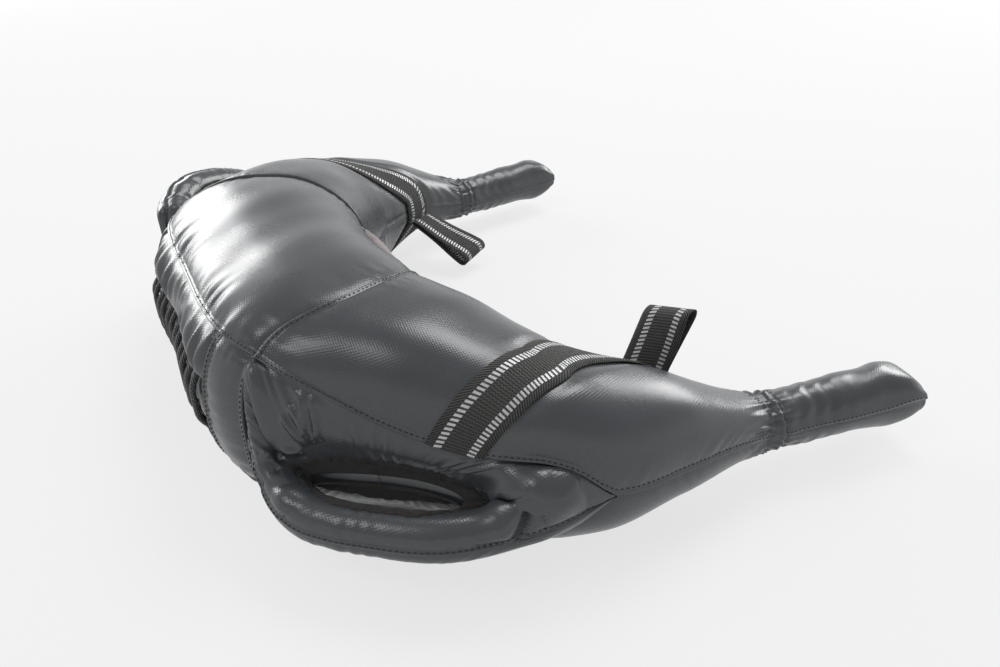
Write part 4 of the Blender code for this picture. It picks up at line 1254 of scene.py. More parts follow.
def handle_pose(side, share):
    """Lift of the slot, pull and fold of the handle at a share, fading at the roots."""
    start, end, pull, fold = HANDLE_POSES["left" if side < 0 else "right"]
    t = (share - HANDLE_START_SHARE) / (HANDLE_END_SHARE - HANDLE_START_SHARE)
    lift = start + (end - start) * min(max(t, 0.0), 1.0)
    rising = ramp((share - CROSS_SEAM_SHARE) / (HANDLE_START_SHARE - CROSS_SEAM_SHARE))
    fade = rising * ramp((HANDLE_END_SHARE + HANDLE_FADE_SHARE - share) / HANDLE_FADE_SHARE)
    return lift * fade, pull * fade, fold * fade


def handle_section(side, share):
    """Slot height, fold, and the reach and height of the handle's middle."""
    lift, pull, fold = handle_pose(side, share)
    slot = SLOT_HEIGHT + lift
    reach_share, height_share = along(HANDLE, share)
    pivot = np.array(body_profile(share, height_angle(share, slot)))
    reach = reach_share * BODY_WIDTH / 2 - HANDLE_DIAMETER / 2 + pull
    arm = np.array([reach, height_share * BODY_HEIGHT + lift]) - pivot
    return slot, fold, pivot + turned(arm, fold)


def wing_row(side, share, across, lower):
    """Reach and height on a side handle panel, at shares from the body to the outer seam."""
    slot, fold, middle = handle_section(side, share)
    radius = HANDLE_DIAMETER / 2
    sign = -1.0 if lower else 1.0
    edge = middle + turned((radius, 0.0), fold)
    seam_swing = float(seam_angle(share, lower))
    seam = np.array(body_profile(share, seam_swing))
    wall_swing = float(height_angle(share, slot + sign * SLOT_WALL_HEIGHT / 2))
    knots = [[0.0, *seam]]
    for t in (0.5, 1.0):
        swing = seam_swing + (wall_swing - seam_swing) * t
        knots.append([SLOT_INNER_SHARE * t, *body_profile(share, swing, -SLOT_WALL_OFFSET)])
    for t in np.linspace(0.0, 1.0, 5):
        swing = fold + sign * HANDLE_WRAP_ANGLE * (1.0 - t)
        across_at = SLOT_OUTER_SHARE + (1.0 - SLOT_OUTER_SHARE) * t
        knots.append([across_at, *(middle + turned((radius, 0.0), swing))])
    slotted = along(np.array(knots), across)
    seams = [body_profile(share, float(seam_angle(share, under)))[1] for under in (False, True)]
    edge[1] = min(edge[1], sum(seams) / 2)
    quarter = np.clip(across, 0.0, 1.0) * math.pi / 2
    bulge = np.stack(
        [
            seam[0] + (edge[0] - seam[0]) * np.sin(quarter) ** (2.0 / SECTION_POWER),
            edge[1] + (seam[1] - edge[1]) * np.cos(quarter) ** (2.0 / SECTION_POWER),
        ],
        axis=-1,
    )
    rising = ramp((share - CROSS_SEAM_SHARE) / (HANDLE_START_SHARE - CROSS_SEAM_SHARE))
    falling = ramp((HANDLE_END_SHARE + WING_FADE_SHARE - share) / WING_FADE_SHARE)
    weight = rising * falling
    return slotted * weight + bulge * (1.0 - weight)


class Wing:
    """One face of a side handle, as a smooth map from share and across share to points."""

    def __init__(self, side, lower):
        self.shares = np.linspace(CROSS_SEAM_SHARE, GUSSET_TIP_SHARE, 111)
        self.across = np.linspace(0.0, 1.0, 61)
        table = []
        cores = []
        for share in self.shares:
            row = wing_row(side, float(share), self.across, lower)
            table.append(place(np.full(len(row), side * share), row[:, 0], row[:, 1]))
            cores.append(handle_section(side, float(share))[2])
        self.table = np.array(table)
        self.cores = np.array(cores)
        self.reach = run_lengths(self.table, 1)
        at = np.array([SLOT_CENTRE_SHARE])
        tube_top = np.array([0.9])
        middle = place(side * at, *self.core(at))
        away = self.point(at, tube_top) - middle
        self.flip = float(np.sum(self.normal(at, tube_top) * away)) < 0

    def steps(self, share, across):
        """Places in the table, in whole and part steps of its rows and columns."""
        u = (np.asarray(share) - self.shares[0]) / (self.shares[1] - self.shares[0])
        v = (np.asarray(across) - self.across[0]) / (self.across[1] - self.across[0])
        return u, v

    def point(self, share, across):
        """Points by cubic steps between the table's own."""
        u, v = self.steps(share, across)
        i = np.clip(np.floor(u).astype(int), 1, len(self.shares) - 3)
        j = np.clip(np.floor(v).astype(int), 1, len(self.across) - 3)
        a = cubic_weights(u - i)
        b = cubic_weights(v - j)
        result = np.zeros(u.shape + (3,))
        for m in range(4):
            for n in range(4):
                weight = (a[m] * b[n])[..., None]
                result += weight * self.table[i + m - 1, j + n - 1]
        return result

    def normal(self, share, across):
        """Normals of the face, all to one side of it."""
        by_share = self.point(share + WING_STEP, across) - self.point(share - WING_STEP, across)
        by_across = self.point(share, across + WING_STEP) - self.point(share, across - WING_STEP)
        return unit(np.cross(by_share, by_across))

    def cloth(self, share, across):
        """Coordinates of the cover's weave in metres, along the body and away from it."""
        u, v = self.steps(share, across)
        u = np.clip(u, 0.0, len(self.shares) - 1.001)
        v = np.clip(v, 0.0, len(self.across) - 1.001)
        i = np.floor(u).astype(int)
        j = np.floor(v).astype(int)
        a = u - i
        b = v - j
        near = self.reach[i, j] * (1.0 - b) + self.reach[i, j + 1] * b
        far = self.reach[i + 1, j] * (1.0 - b) + self.reach[i + 1, j + 1] * b
        return np.stack([share * HALF_LENGTH, near * (1.0 - a) + far * a], axis=-1)

    def core(self, share):
        """Reach and height of the middle of the handle."""
        rows = np.interp(share, self.shares, np.arange(len(self.shares))).astype(int)
        return self.cores[rows, 0], self.cores[rows, 1]

    def outward_normal(self, share, across):
        """Normals away from the inside of the handle."""
        normals = self.normal(share, across)
        return -normals if self.flip else normals


def cubic_weights(t):
    """Weights of four neighbours for a smooth curve through the middle two."""
    return (
        ((-0.5 * t + 1.0) * t - 0.5) * t,
        ((1.5 * t - 2.5) * t) * t + 1.0,
        ((-1.5 * t + 2.0) * t + 0.5) * t,
        ((0.5 * t - 0.5) * t) * t,
    )


def slot_oval(margin, count):
    """Shares and across shares round the hand slot, at a margin outside it."""
    middle = (SLOT_INNER_SHARE + SLOT_OUTER_SHARE) / 2
    half_across = (SLOT_OUTER_SHARE - SLOT_INNER_SHARE) / 2
    share_margin = margin / HALF_LENGTH
    across_margin = margin * (1.0 - SLOT_OUTER_SHARE) / (HANDLE_DIAMETER / 2 * HANDLE_WRAP_ANGLE)
    swing = full_turn(count)
    by_share = (SLOT_HALF_SHARE + share_margin) * signed_power(np.cos(swing), 0.8)
    by_across = (half_across + across_margin) * signed_power(np.sin(swing), 0.8)
    return SLOT_CENTRE_SHARE + by_share, middle + by_across


def panel_outline(count):
    """Shares and across shares round the edge of a side handle panel, matched to the oval."""
    middle = (SLOT_INNER_SHARE + SLOT_OUTER_SHARE) / 2
    corner = np.stack([np.cos(full_turn(count)), np.sin(full_turn(count))])
    u, v = corner / np.max(np.abs(corner), axis=0)
    span = np.where(u > 0, GUSSET_END_SHARE - SLOT_CENTRE_SHARE, SLOT_CENTRE_SHARE - CROSS_SEAM_SHARE)
    return SLOT_CENTRE_SHARE + u * span, middle + v * np.where(v > 0, 1.0 - middle, middle), u, v


def handle_relief(points, off, folds):
    """Height of a side handle's cover over its plain shape, away from its edges."""
    height = 0.6 * PUFF * (1.0 - np.exp(-off / PUFF_REACH))
    height = height + UNEVEN * unevenness(points, UNEVEN_SIZE, 3.1)
    for start, end, width, amount in folds:
        height = height + amount * bump_line(points, start, end, width, amount < 0)
    return height


def wing_surface(wing, lower, folds, count=360):
    """The finished points, normals and edge distances of a side handle face."""
    hole_share, hole_across = slot_oval(TAPE_COVER, count)
    edge_share, edge_across, u, v = panel_outline(count)
    near_edge = [1.0 - k / 100 for k in (5.2, 3.8, 2.7, 1.8, 1.1, 0.5, 0.0)]
    t = np.concatenate([np.linspace(0.0, 0.935, 60), near_edge])[:, None]
    share = hole_share + (edge_share - hole_share) * t
    across = hole_across + (edge_across - hole_across) * t
    points = wing.point(share, across)
    normals = wing.outward_normal(share, across)
    run = run_lengths(points, 0)
    off = run[-1] - run
    outer = ramp((v - 0.9) / 0.1)
    rim = run_lengths(points[-1:], 1)[0]
    kind = "under" if lower else "lap"
    outer_relief = edge_relief(kind, off, rim, 1.1, PUCKERS["handle_outer"])
    inner_relief = edge_relief("under", off, rim, 2.7, PUCKERS["handle_inner"])
    inner_relief = inner_relief + 0.85 * PINCH_DEPTH * np.exp(-off / PINCH_REACH)
    height = outer_relief * outer + inner_relief * (1.0 - outer) * (1.0 - 0.8 * ramp((u - 0.8) / 0.2))
    height = height + handle_relief(points, off, folds)
    surface = points + normals * height[..., None]
    tucked = (1.0 - outer)[:, None] * UNDER_TUCK * unit(points[-1] - points[-4])
    cloth = wing.cloth(share, across)
    lasts = [surface[-1:] + tucked, normals[-1:], off[-1:], cloth[-1:] + UNDER_TUCK]
    return [np.concatenate(rows) for rows in zip((surface, normals, off, cloth), lasts)]


def outer_seam(points, normals):
    """The part of a ring of points that follows the handle's outer seam."""
    v = panel_outline(len(points))[3]
    on_seam = v > 0.9
    first = int(np.argmax(on_seam & ~np.roll(on_seam, 1)))
    order = np.roll(np.arange(len(points)), -first)
    order = order[on_seam[order]]
    return points[order], normals[order]


def handle_folds(name, wing):
    """The creases of one side handle as lines in space, with their widths and heights."""
    folds = []
    for first, last, width, amount in HANDLE_FOLDS[name]:
        ends = wing.point(np.array([first[0], last[0]]), np.array([first[1], last[1]]))
        folds.append((ends[0], ends[1], width, amount))
    return folds


def build_side_handle(name, side, leather, tape, thread):
    """One side handle's two faces, the tapes round its slot, and the slot's wall."""
    wings = {"top": Wing(side, lower=False), "bottom": Wing(side, lower=True)}
    folds = handle_folds(name, wings["top"])
    for layer, wing in wings.items():
        surface, normals, off, uvs = wing_surface(wing, layer == "bottom", folds)
        cover_name = "side_handle_" + layer + "_cover_" + name
        item = ring_object(cover_name, surface, normals, leather, uvs, goes_round=False)
        stand_in(item, BAG, "leather", "side_handle_" + layer + "_panel_" + name)
        item = slot_tape("slot_tape_" + layer + "_" + name, wing, folds, tape)
        stand_in(item, BAG, "binding_tape", "slot_binding_" + layer + "_" + name)
        if layer == "top":
            row = int(np.argmin(np.abs(np.median(off, axis=1) - STITCH_OFFSET)))
            line = outer_seam(surface[row], normals[row])
            stand_in(stitches("side_handle_stitches_" + name, [line], thread), BAG, None)
            item = loose_threads("slot_tape_threads_" + name, wing, folds, thread)
            stand_in(item, BAG, None)
    item = slot_wall("slot_lining_" + name, wings, leather)
    stand_in(item, BAG, "leather", "slot_wall_" + name)


def tape_rows(wing, folds, rows, frays):
    """Points and normals round the slot, at shares of the tape's width and at heights."""
    count = len(frays)
    swing = full_turn(count)
    near = np.stack(slot_oval(0.0, count))
    far = np.stack(slot_oval(TAPE_SEARCH_WIDTH, count))
    t = np.linspace(0.0, 1.0, 41)
    path = wing.point(*(near + (far - near) * t[:, None, None]).transpose(1, 0, 2))
    run = run_lengths(path, 0)
    tube_side = ramp(0.5 + 0.9 * np.sin(swing))
    width = TAPE_BODY_WIDTH + (TAPE_TUBE_WIDTH - TAPE_BODY_WIDTH) * tube_side
    width = width * (1.0 + TAPE_SWELL * np.sin(2 * swing + 0.6) * (1.0 - tube_side))
    points = []
    ups = []
    for share_out, lift in rows:
        reach = width * share_out * (1.0 + frays * share_out)
        at = np.array([np.interp(reach[k], run[:, k], t) for k in range(count)])
        place_on = near + (far - near) * at
        base = wing.point(*place_on)
        up = wing.outward_normal(*place_on)
        height = handle_relief(base, np.full(count, PUFF_REACH), folds) * min(1.0, 4.0 * share_out)
        points.append(base + up * (height + lift)[:, None])
        ups.append(up)
    return np.array(points), np.array(ups)


def slot_tape(name, wing, folds, tape):
    """The frayed tape that binds the edge of the slot."""
    swing = full_turn(TAPE_POINTS)
    frays = 0.05 * np.sin(11 * swing + 1.0)
    for share, quick, slow in ((0.04, 29, 4), (0.03, 67, 9), (0.03, 149, 7)):
        frays += share * np.sin(quick * swing) * np.sin(slow * swing)
    rows = [(0.0, -TAPE_TURN), (0.0, -0.4 * TAPE_TURN), (0.02, 0.5 * TAPE_LIFT), (0.08, TAPE_LIFT)]
    rows += [(share, TAPE_LIFT) for share in (0.2, 0.35, 0.5, 0.65, 0.8, 0.9)]
    rows += [(0.97, 0.95 * TAPE_LIFT), (1.0, 0.6 * TAPE_LIFT), (1.0, -0.5 * TAPE_LIFT)]
    points, normals = tape_rows(wing, folds, rows, frays)
    creases = TAPE_CREASE * np.sin(31 * swing) * np.sin(3 * swing + 1.0)
    points[3:-1] += normals[3:-1] * creases[:, None]
    return ring_object(name, points, normals, tape, grid_uvs(points, 1))


def loose_threads(name, wing, folds, thread):
    """Short ends of thread that fray from the edges of the tape, and one long one."""
    count = TAPE_POINTS
    edge, ups = tape_rows(wing, folds, [(0.5, 0.0), (1.0, TAPE_LIFT)], np.zeros(count))
    parts = []
    for i in range(LOOSE_THREADS + 1):
        turn = 0.37 * i * i + 1.9 * i
        column = int(count * (0.5 + 0.5 * math.sin(1.7 * turn))) % count
        start = edge[1, column]
        away = unit(edge[1, column] - edge[0, column])
        beside = unit(edge[1, (column + 3) % count] - start)
        up = ups[1, column]
        t = np.linspace(0.0, 1.0, 9)[:, None]
        length = LOOSE_THREAD_LENGTH * (1.0 + abs(math.sin(2.3 * turn)) ** 3)
        path = start + away * (length * t - LOOSE_THREAD_ROOT)
        path = path + beside * length * 0.7 * math.sin(turn) * t**2
        arch = LOOSE_THREAD_ARCH * np.sin(math.pi * t) * abs(math.cos(turn))
        parts.append(thread_parts(path + up * (LOOSE_THREAD_LIFT + arch), up))
    column = int(count * LONG_THREAD_SHARE)
    up = ups[0, column]
    t = np.linspace(0.0, 1.0, 16)[:, None]
    inward = unit(edge[0, column] - edge[1, column])
    beside = unit(edge[0, column + 3] - edge[0, column])
    path = edge[0, column] + up * TAPE_LIFT + inward * LONG_THREAD * 0.75 * t
    path = path + up * LONG_THREAD_ARCH * np.sin(math.pi * t)
    path = path + np.array([0.0, 0.0, -1.0]) * LONG_THREAD * 0.35 * t**2
    path = path + LONG_THREAD_SWAY * np.sin(6.0 * t) * beside
    parts.append(thread_parts(path, up))
    return mesh_object(name, *joined(parts), thread)


def thread_parts(path, up):
    """Vertices and faces of one closed fine thread."""
    sides = 5
    course = unit(np.gradient(path, axis=0))
    across = unit(np.cross(course, up))
    rise = np.cross(across, course)
    vertices = []
    for i in range(len(path)):
        for k in range(sides):
            swing = 2 * math.pi * k / sides
            spoke = across[i] * math.cos(swing) + rise[i] * math.sin(swing)
            vertices.append(path[i] + spoke * LOOSE_THREAD_RADIUS)
    faces = grid_faces(len(path), sides, flip=True, wrap=True)
    last = (len(path) - 1) * sides
    faces.append(list(range(sides)))
    faces.append([last + k for k in reversed(range(sides))])
    return vertices, faces


def slot_wall(name, wings, leather):
    """The leather inside the slot, between its two tapes."""
    share, across = slot_oval(SLOT_WALL_INSET, 160)
    upper, under = (wings[layer].point(share, across) for layer in ("top", "bottom"))
    middle = (upper + under) / 2
    away = unit(middle - np.mean(middle, axis=0))
    t = np.linspace(0.04, 0.96, 12)[:, None, None]
    points = upper + (under - upper) * t + away * SLOT_WALL_SWELL * np.sin(math.pi * t)
    normals = np.broadcast_to(-away, points.shape)
    return ring_object(name, points, normals, leather, grid_uvs(points, 1))


# Webbing


def ribbon(name, rows, normals, material, widths):
    """A thick ribbon: rows of points across it by points along it, and their normals."""
    edge_drop = np.minimum(widths, WEBBING_WIDTH - widths)
    soften = WEBBING_THICKNESS * 0.35 * np.exp(-edge_drop / STRAP_EDGE_SOFTNESS)
    top = rows + normals * WEBBING_THICKNESS - normals * soften[:, None, None]
    loop = np.concatenate([top, rows[::-1], top[:1]], axis=0)
    ups = np.concatenate([normals, -normals[::-1], normals[:1]], axis=0)
    run = run_lengths(rows[len(rows) // 2 : len(rows) // 2 + 1], 1)[0]
    across = np.concatenate([widths, widths[::-1], widths[:1]])
    uvs = np.stack(np.broadcast_arrays(across[:, None], run[None, :]), axis=-1)
    return weld(grid_object(name, loop, ups, material, uvs))


def build_strap(name, rows, normals, webbing):
    """The webbing round one horn, a little wavy between its sewn ends."""
    widths = np.linspace(0.0, WEBBING_WIDTH, len(rows))
    run = run_lengths(rows, 1)
    free = np.sin(math.pi * np.clip(run / run[:, -1:], 0.0, 1.0)) ** 0.5
    along_wave, across_wave = STRAP_WAVE_SIZES
    waves = np.sin(run / along_wave + widths[:, None] / across_wave)
    lift = STRAP_SEAT + STRAP_WAVE * free * (1.0 + waves)
    points = rows + normals * lift[..., None]
    points[..., 2] = np.maximum(points[..., 2], STRAP_FLOOR_GAP)
    item = ribbon("strap_" + name, points, normals, webbing, widths)
    stand_in(item, BAG, "webbing", "body_strap_" + name)


def loop_frame(name, side):
    """Root centre, width direction and rise direction of a strap loop."""
    share = strap_share(LOOP_BASE_ANGLE)
    point, by_share, by_angle, normal = surface_frame(side, share, LOOP_BASE_ANGLE)
    width = unit(by_share)
    up = unit(width * np.dot(by_angle, width) - by_angle)
    lift = WEBBING_GAP + WEBBING_THICKNESS + LOOP_GAP + LOOP_ROOT_RADIUS
    rise = LOOP_RISE[name]
    root = point + normal * lift + width * LOOP_SHIFT_WIDTH[name]
    return root, width, up * math.cos(rise) + normal * math.sin(rise)


def arc(middle, radius, start, end, count):
    """Places on a circle whose centre lies along the loop, from one angle to another."""
    swing = np.linspace(start, end, count)
    return np.stack([middle + radius * np.cos(swing), radius * np.sin(swing)], axis=1)


def loop_outline():
    """The loop from the side, from its root round its tip and back, as places along and across."""
    tip = LOOP_LENGTH - LOOP_TIP_RADIUS
    spring = math.pi / 2 + math.asin((LOOP_TIP_RADIUS - LOOP_ROOT_RADIUS) / tip)
    root = arc(0.0, LOOP_ROOT_RADIUS, math.pi, spring, 5)
    end = arc(tip, LOOP_TIP_RADIUS, spring, -spring, 24)
    t = np.linspace(0.04, 0.96, 20)[:, None]
    side = root[-1] + (end[0] - root[-1]) * t
    side[:, 1:] -= LOOP_BOW * np.sin(math.pi * t) ** 2
    back = (side * [1.0, -1.0])[::-1]
    return np.concatenate([root, side, end, back, (root * [1.0, -1.0])[::-1]])


def build_loop(name, side, webbing):
    """The webbing folded to a loop, which swings at its sewn root."""
    root, width, reach = loop_frame(name, side)
    across = np.cross(width, reach)
    reach = reach + width * math.tan(LOOP_LEAN[name])
    outline = loop_outline()
    course = np.gradient(outline, axis=0)
    inward = unit(np.stack([course[:, 1], -course[:, 0]], axis=1))
    twist = (LOOP_TWIST[name] * ramp(outline[:, 0] / LOOP_LENGTH))[:, None]
    turned_width = width * np.cos(twist) + across * np.sin(twist)
    turned_across = across * np.cos(twist) - width * np.sin(twist)
    spine = outline[:, :1] * reach + outline[:, 1:] * turned_across
    inner = unit(inward[:, :1] * reach + inward[:, 1:] * turned_across)
    widths = np.linspace(0.0, WEBBING_WIDTH, STRAP_ROWS)
    points = np.array([root + spine + turned_width * s for s in widths - WEBBING_WIDTH / 2])
    normals = np.broadcast_to(inner, points.shape)
    tip_row = len(outline) // 2
    away = points[:, tip_row] - np.mean(points, axis=(0, 1))
    if np.sum(normals[:, tip_row] * away) > 0:
        normals = -normals
    item = ribbon("loop_" + name, points, normals, webbing, widths)
    stand_in(item, "strap_loop_" + name, "webbing", "strap_loop_" + name)


# Grips


def grip_frame(side):
    """Neck centre, and the grip's directions: along, sideways and up."""
    forward = heading(side) * side
    along_grip = np.array([*turned(forward, side * GRIP_TURN), 0.0])
    up = np.array([0.0, 0.0, 1.0])
    return core_point(side), along_grip, np.cross(along_grip, up), up


def turn_between(swing, other):
    """The angle between two angles, the short way."""
    return np.abs(np.angle(np.exp(1j * (swing - other))))


def grip_relief(side, swing, distance):
    """Height of the sleeve over its plain shape: gathers, seam, wrinkles, collar and rim."""
    share = distance / GRIP_LENGTH
    radius = GRIP_DIAMETER / 2
    gather = np.exp(-((np.maximum(distance, 0.0) / GRIP_GATHER_REACH) ** 1.5))
    waves = np.sin(15 * swing + 1.5 * np.sin(2 * swing)) + 0.5 * np.sin(23 * swing + 2.0)
    height = GRIP_GATHER * waves * gather
    seam = GRIP_SEAM_TURN * side
    off = radius * turn_between(swing, seam)
    height = height - GRIP_SEAM_DEPTH * bell(off, GRIP_SEAM_WIDTH)
    folded = ramp((GRIP_FOLD_WIDTH - off) / GRIP_FOLD_EDGE) * (np.sin(swing - seam) > 0)
    height = height + GRIP_FOLD_RISE * folded
    swells = np.sin(distance / GRIP_SWELL_SIZE + 2.0 * np.cos(swing)) * np.sin(2 * swing + 0.8)
    ripples = np.sin(distance / GRIP_RIPPLE_SIZE + 3.0 * np.sin(swing + 0.6)) * np.sin(swing)
    bends = 2.5 * np.sin(2 * swing) + 1.5 * np.sin(5 * swing)
    wrinkles = np.sin(distance / GRIP_WRINKLE_SIZE + bends)
    height = height + GRIP_SWELL * swells + GRIP_RIPPLE * ripples
    height = height + GRIP_WRINKLE * wrinkles * bell(distance - GRIP_WRINKLE_AT, GRIP_WRINKLE_REACH)
    height = height + GRIP_COLLAR_RISE * bell(distance - GRIP_COLLAR_AT, GRIP_COLLAR_WIDTH)
    height = height - GRIP_GROOVE_DEPTH * bell(distance - 2 * GRIP_COLLAR_AT, GRIP_GROOVE_WIDTH)
    height = height - GRIP_RIM_TURN * ramp((share - 0.988) / 0.012)
    height = height + GRIP_RIM_RISE * bell(distance - GRIP_RIM_SHARE * GRIP_LENGTH, GRIP_RIM_WIDTH)
    return height - GRIP_END_CREASE * ramp((share - 0.80) / 0.2) * np.abs(np.sin(2 * swing)) ** 6


def build_grip(name, side, leather, thread):
    """One grip: its sleeve with gathers at the neck and a seam, and the folded end."""
    neck, along_grip, sideways, up = grip_frame(side)
    radius = GRIP_DIAMETER / 2
    table = np.array(GRIP_SHARES)
    shares = np.concatenate([np.linspace(-0.10, 0.16, 44), np.linspace(0.17, 1.0, 72)])
    swing = full_turn(112)
    cosine = np.cos(swing)
    sine = np.sin(swing)
    half = along(table, shares) * radius
    power = 2.0 / (2.0 + 1.6 * ramp((shares - 0.7) / 0.3))[:, None]
    distance = (shares * GRIP_LENGTH)[:, None]
    height = grip_relief(side, swing, distance)
    x = half[:, :1] * signed_power(cosine, power) + height * cosine
    z = half[:, 1:] * signed_power(sine, power) + height * sine
    base = neck + along_grip * distance[..., None]
    points = base + sideways * x[..., None] + up * z[..., None]
    normals = unit(points - base)
    uvs = np.stack(np.broadcast_arrays(swing * radius, distance), axis=-1)
    sleeve = ring_object("grip_cover_" + name, points, normals, leather, uvs)
    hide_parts("grip_sleeve_" + name)
    beside = GRIP_SEAM_TURN * side + GRIP_STITCH_OFFSET / radius
    column = int(np.argmin(turn_between(swing, beside)))
    stitched = (shares > 0.05) & (shares < 0.975)
    line = (points[stitched, column], normals[stitched, column])
    for item in (sleeve, stitches("grip_stitches_" + name, [line], thread)):
        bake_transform(item)

    half_width, half_height = along(table, 1.0) * radius
    rings = []
    for t, bulge in GRIP_END_BULGES:
        scale = 0.97 - 0.96 * t
        x = half_width * scale * signed_power(cosine, 2.0 / GRIP_END_POWER)
        z = half_height * scale * signed_power(sine, 2.0 / GRIP_END_POWER)
        depth = GRIP_LENGTH + bulge + GRIP_END_FOLD * bell(z, GRIP_END_FOLD_WIDTH)
        rings.append(neck + along_grip * depth[:, None] + sideways * x[:, None] + up * z[:, None])
    rings = np.array(rings)
    ups = np.broadcast_to(along_grip, rings.shape)
    uvs = np.stack([(rings - neck) @ sideways, (rings - neck) @ up], axis=-1)
    item = ring_object("grip_end_" + name, rings, ups, leather, uvs)
    stand_in(item, "grip_" + name, "leather", "grip_end_patch_" + name)


# Back closure and neck pad


def lace_depth(angle):
    """Depth of the lace's middle: under the flaps at its turns, proud between them."""
    hidden = COVER_THICKNESS + LACE_GAP + LACE_DIAMETER / 2
    t = ramp((FLAP_EDGE_ANGLE * 1.05 - np.abs(angle)) / (FLAP_EDGE_ANGLE * 0.8))
    return hidden + (-LACE_PROUD_HEIGHT - hidden) * t


def tongue_depth(angle):
    """The tongue lies under the lace and comes up to the flaps at its sewn edges."""
    under = lace_depth(angle) + LACE_DIAMETER / 2 + LACE_GAP
    rest = COVER_THICKNESS + 2 * LACE_GAP
    edge = ramp((np.abs(angle) - LACE_TURN_ANGLE * 1.18) / (TONGUE_HALF_ANGLE - LACE_TURN_ANGLE * 1.18))
    return under + (rest - under) * edge


def lace_route():
    """Shares and angles of the lace, to and fro between the flaps."""
    pitch = 2 * LACE_HALF_LENGTH_SHARE / LACE_STROKES
    turn = 0.35 * pitch
    turn_rise = turn * HALF_LENGTH / (BODY_WIDTH / 2)
    straight = LACE_TURN_ANGLE - turn_rise
    route = []
    for stroke in range(LACE_STROKES):
        upward = 1 if stroke % 2 == 0 else -1
        start = -LACE_HALF_LENGTH_SHARE + stroke * pitch + turn
        end = start + pitch - 2 * turn
        for t in np.linspace(-1.0, 1.0, 17):
            route.append((start + (end - start) * (t + 1) / 2, upward * straight * t))
        if stroke < LACE_STROKES - 1:
            for swing in np.radians(np.linspace(22.5, 157.5, 7)):
                share = end + turn - turn * math.cos(swing)
                route.append((share, upward * (straight + turn_rise * math.sin(swing))))
    return np.array(route).T


def build_back(lacing, leather):
    """The braided lace over its tongue."""
    share, angle = lace_route()
    depth = lace_depth(angle)
    points = body_point(share, angle, depth)
    inside = body_point(share, angle, depth + STEP)
    item = flat_tube("lace_braid", points, points - inside, LACE_RADIUS, LACE_FLATNESS, lacing)
    stand_in(item, BAG, "lace_braid", "lace")

    shares, angles = np.meshgrid(
        np.linspace(-TONGUE_END_SHARE, TONGUE_END_SHARE, 120),
        np.linspace(-TONGUE_HALF_ANGLE, TONGUE_HALF_ANGLE, 34),
        indexing="ij",
    )
    surface = body_point(shares, angles, tongue_depth(angles))
    waves = TONGUE_WAVE * (np.sin(shares * 160.0) - 1.0)
    surface = surface + outward(shares) * waves[..., None]
    normals = grid_normals(surface, core_point(shares))
    item = grid_object("lace_tongue_cover", surface, normals, leather, grid_uvs(surface))
    stand_in(item, BAG, "leather", "lace_tongue")


def build_neck_pad(neck_leather):
    """The padded band along the inner curve, where the bag rests on the neck."""
    s, t = np.meshgrid(np.linspace(-1.0, 1.0, 150), np.linspace(0.0, 1.0, 56), indexing="ij")
    share = s * (CROSS_SEAM_SHARE - NECK_PAD_EDGE_GAP_SHARE)
    angle = INNER_SEAM_ANGLE - NECK_PAD_HALF_ANGLE + 2 * NECK_PAD_HALF_ANGLE * t
    fade = ramp((CROSS_SEAM_SHARE - np.abs(share)) / NECK_PAD_FADE_SHARE)
    bulge = NECK_PAD_BULGE_DEPTH * fade * np.sin(math.pi * np.clip(t, 0.0, 1.0)) ** 0.7
    points = body_point(share, angle, -bulge)
    normals = grid_normals(points, core_point(share))
    run = run_lengths(points, 0)
    depth = run_lengths(points, 1)
    off = np.minimum(depth, depth[:, -1:] - depth)
    wide, slow, fine = NECK_PAD_PUCKER_SIZES
    puckers = np.sin(run / wide + 2.0 * np.sin(run / slow)) + 0.6 * np.sin(run / fine + 1.0)
    along_crease, across_crease = NECK_PAD_CREASE_SIZES
    height = UNEVEN * unevenness(points, NECK_PAD_UNEVEN_SIZE, 5.0)
    height = height + NECK_PAD_PUCKER * puckers * np.exp(-off / NECK_PAD_PUCKER_REACH)
    height = height - NECK_PAD_SEAM_DEPTH * bell(off, NECK_PAD_SEAM_WIDTH)
    height = height + NECK_PAD_CREASE * np.sin(run / along_crease + depth / across_crease) * fade
    uvs = np.stack([run, depth], axis=-1)
    surface = points + normals * height[..., None]
    item = grid_object("neck_pad_cover", surface, normals, neck_leather, uvs)
    stand_in(item, BAG, "neck_leather", "neck_pad")


def dress_inside(nodes):
    """Materials of the stuffing, the sand pouches and the foam, which the covers hide."""
    for start, (material_name, colour, grain) in FILLING_LOOKS.items():
        noise = (grain, 5.0, 0.7)
        material = noise_material(material_name, colour, 0.92, noise, 0.7, 1.15, FILLING_DEPTH)
        for name, item in nodes.items():
            if name.startswith(start):
                for slot in item.material_slots:
                    slot.material = material


def build_seams(covers, thread):
    """The rows of stitches along the lapped seams of the body."""
    lines = {"centre_seam_stitches": [("centre_top_cover", 2), ("centre_bottom_cover", 3)]}
    for name in SIDES:
        end = "back_end_cover_" + name
        top = "horn_top_cover_" + name
        bottom = "horn_bottom_cover_" + name
        lines["end_panel_stitches_" + name] = [(end, 0), (end, 1)]
        lines["horn_stitches_" + name] = [(top, 0), (top, 2), (bottom, 0)]
    for name, runs in lines.items():
        item = stitches(name, [seam_run(covers[cover], edge) for cover, edge in runs], thread)
        stand_in(item, BAG, None)


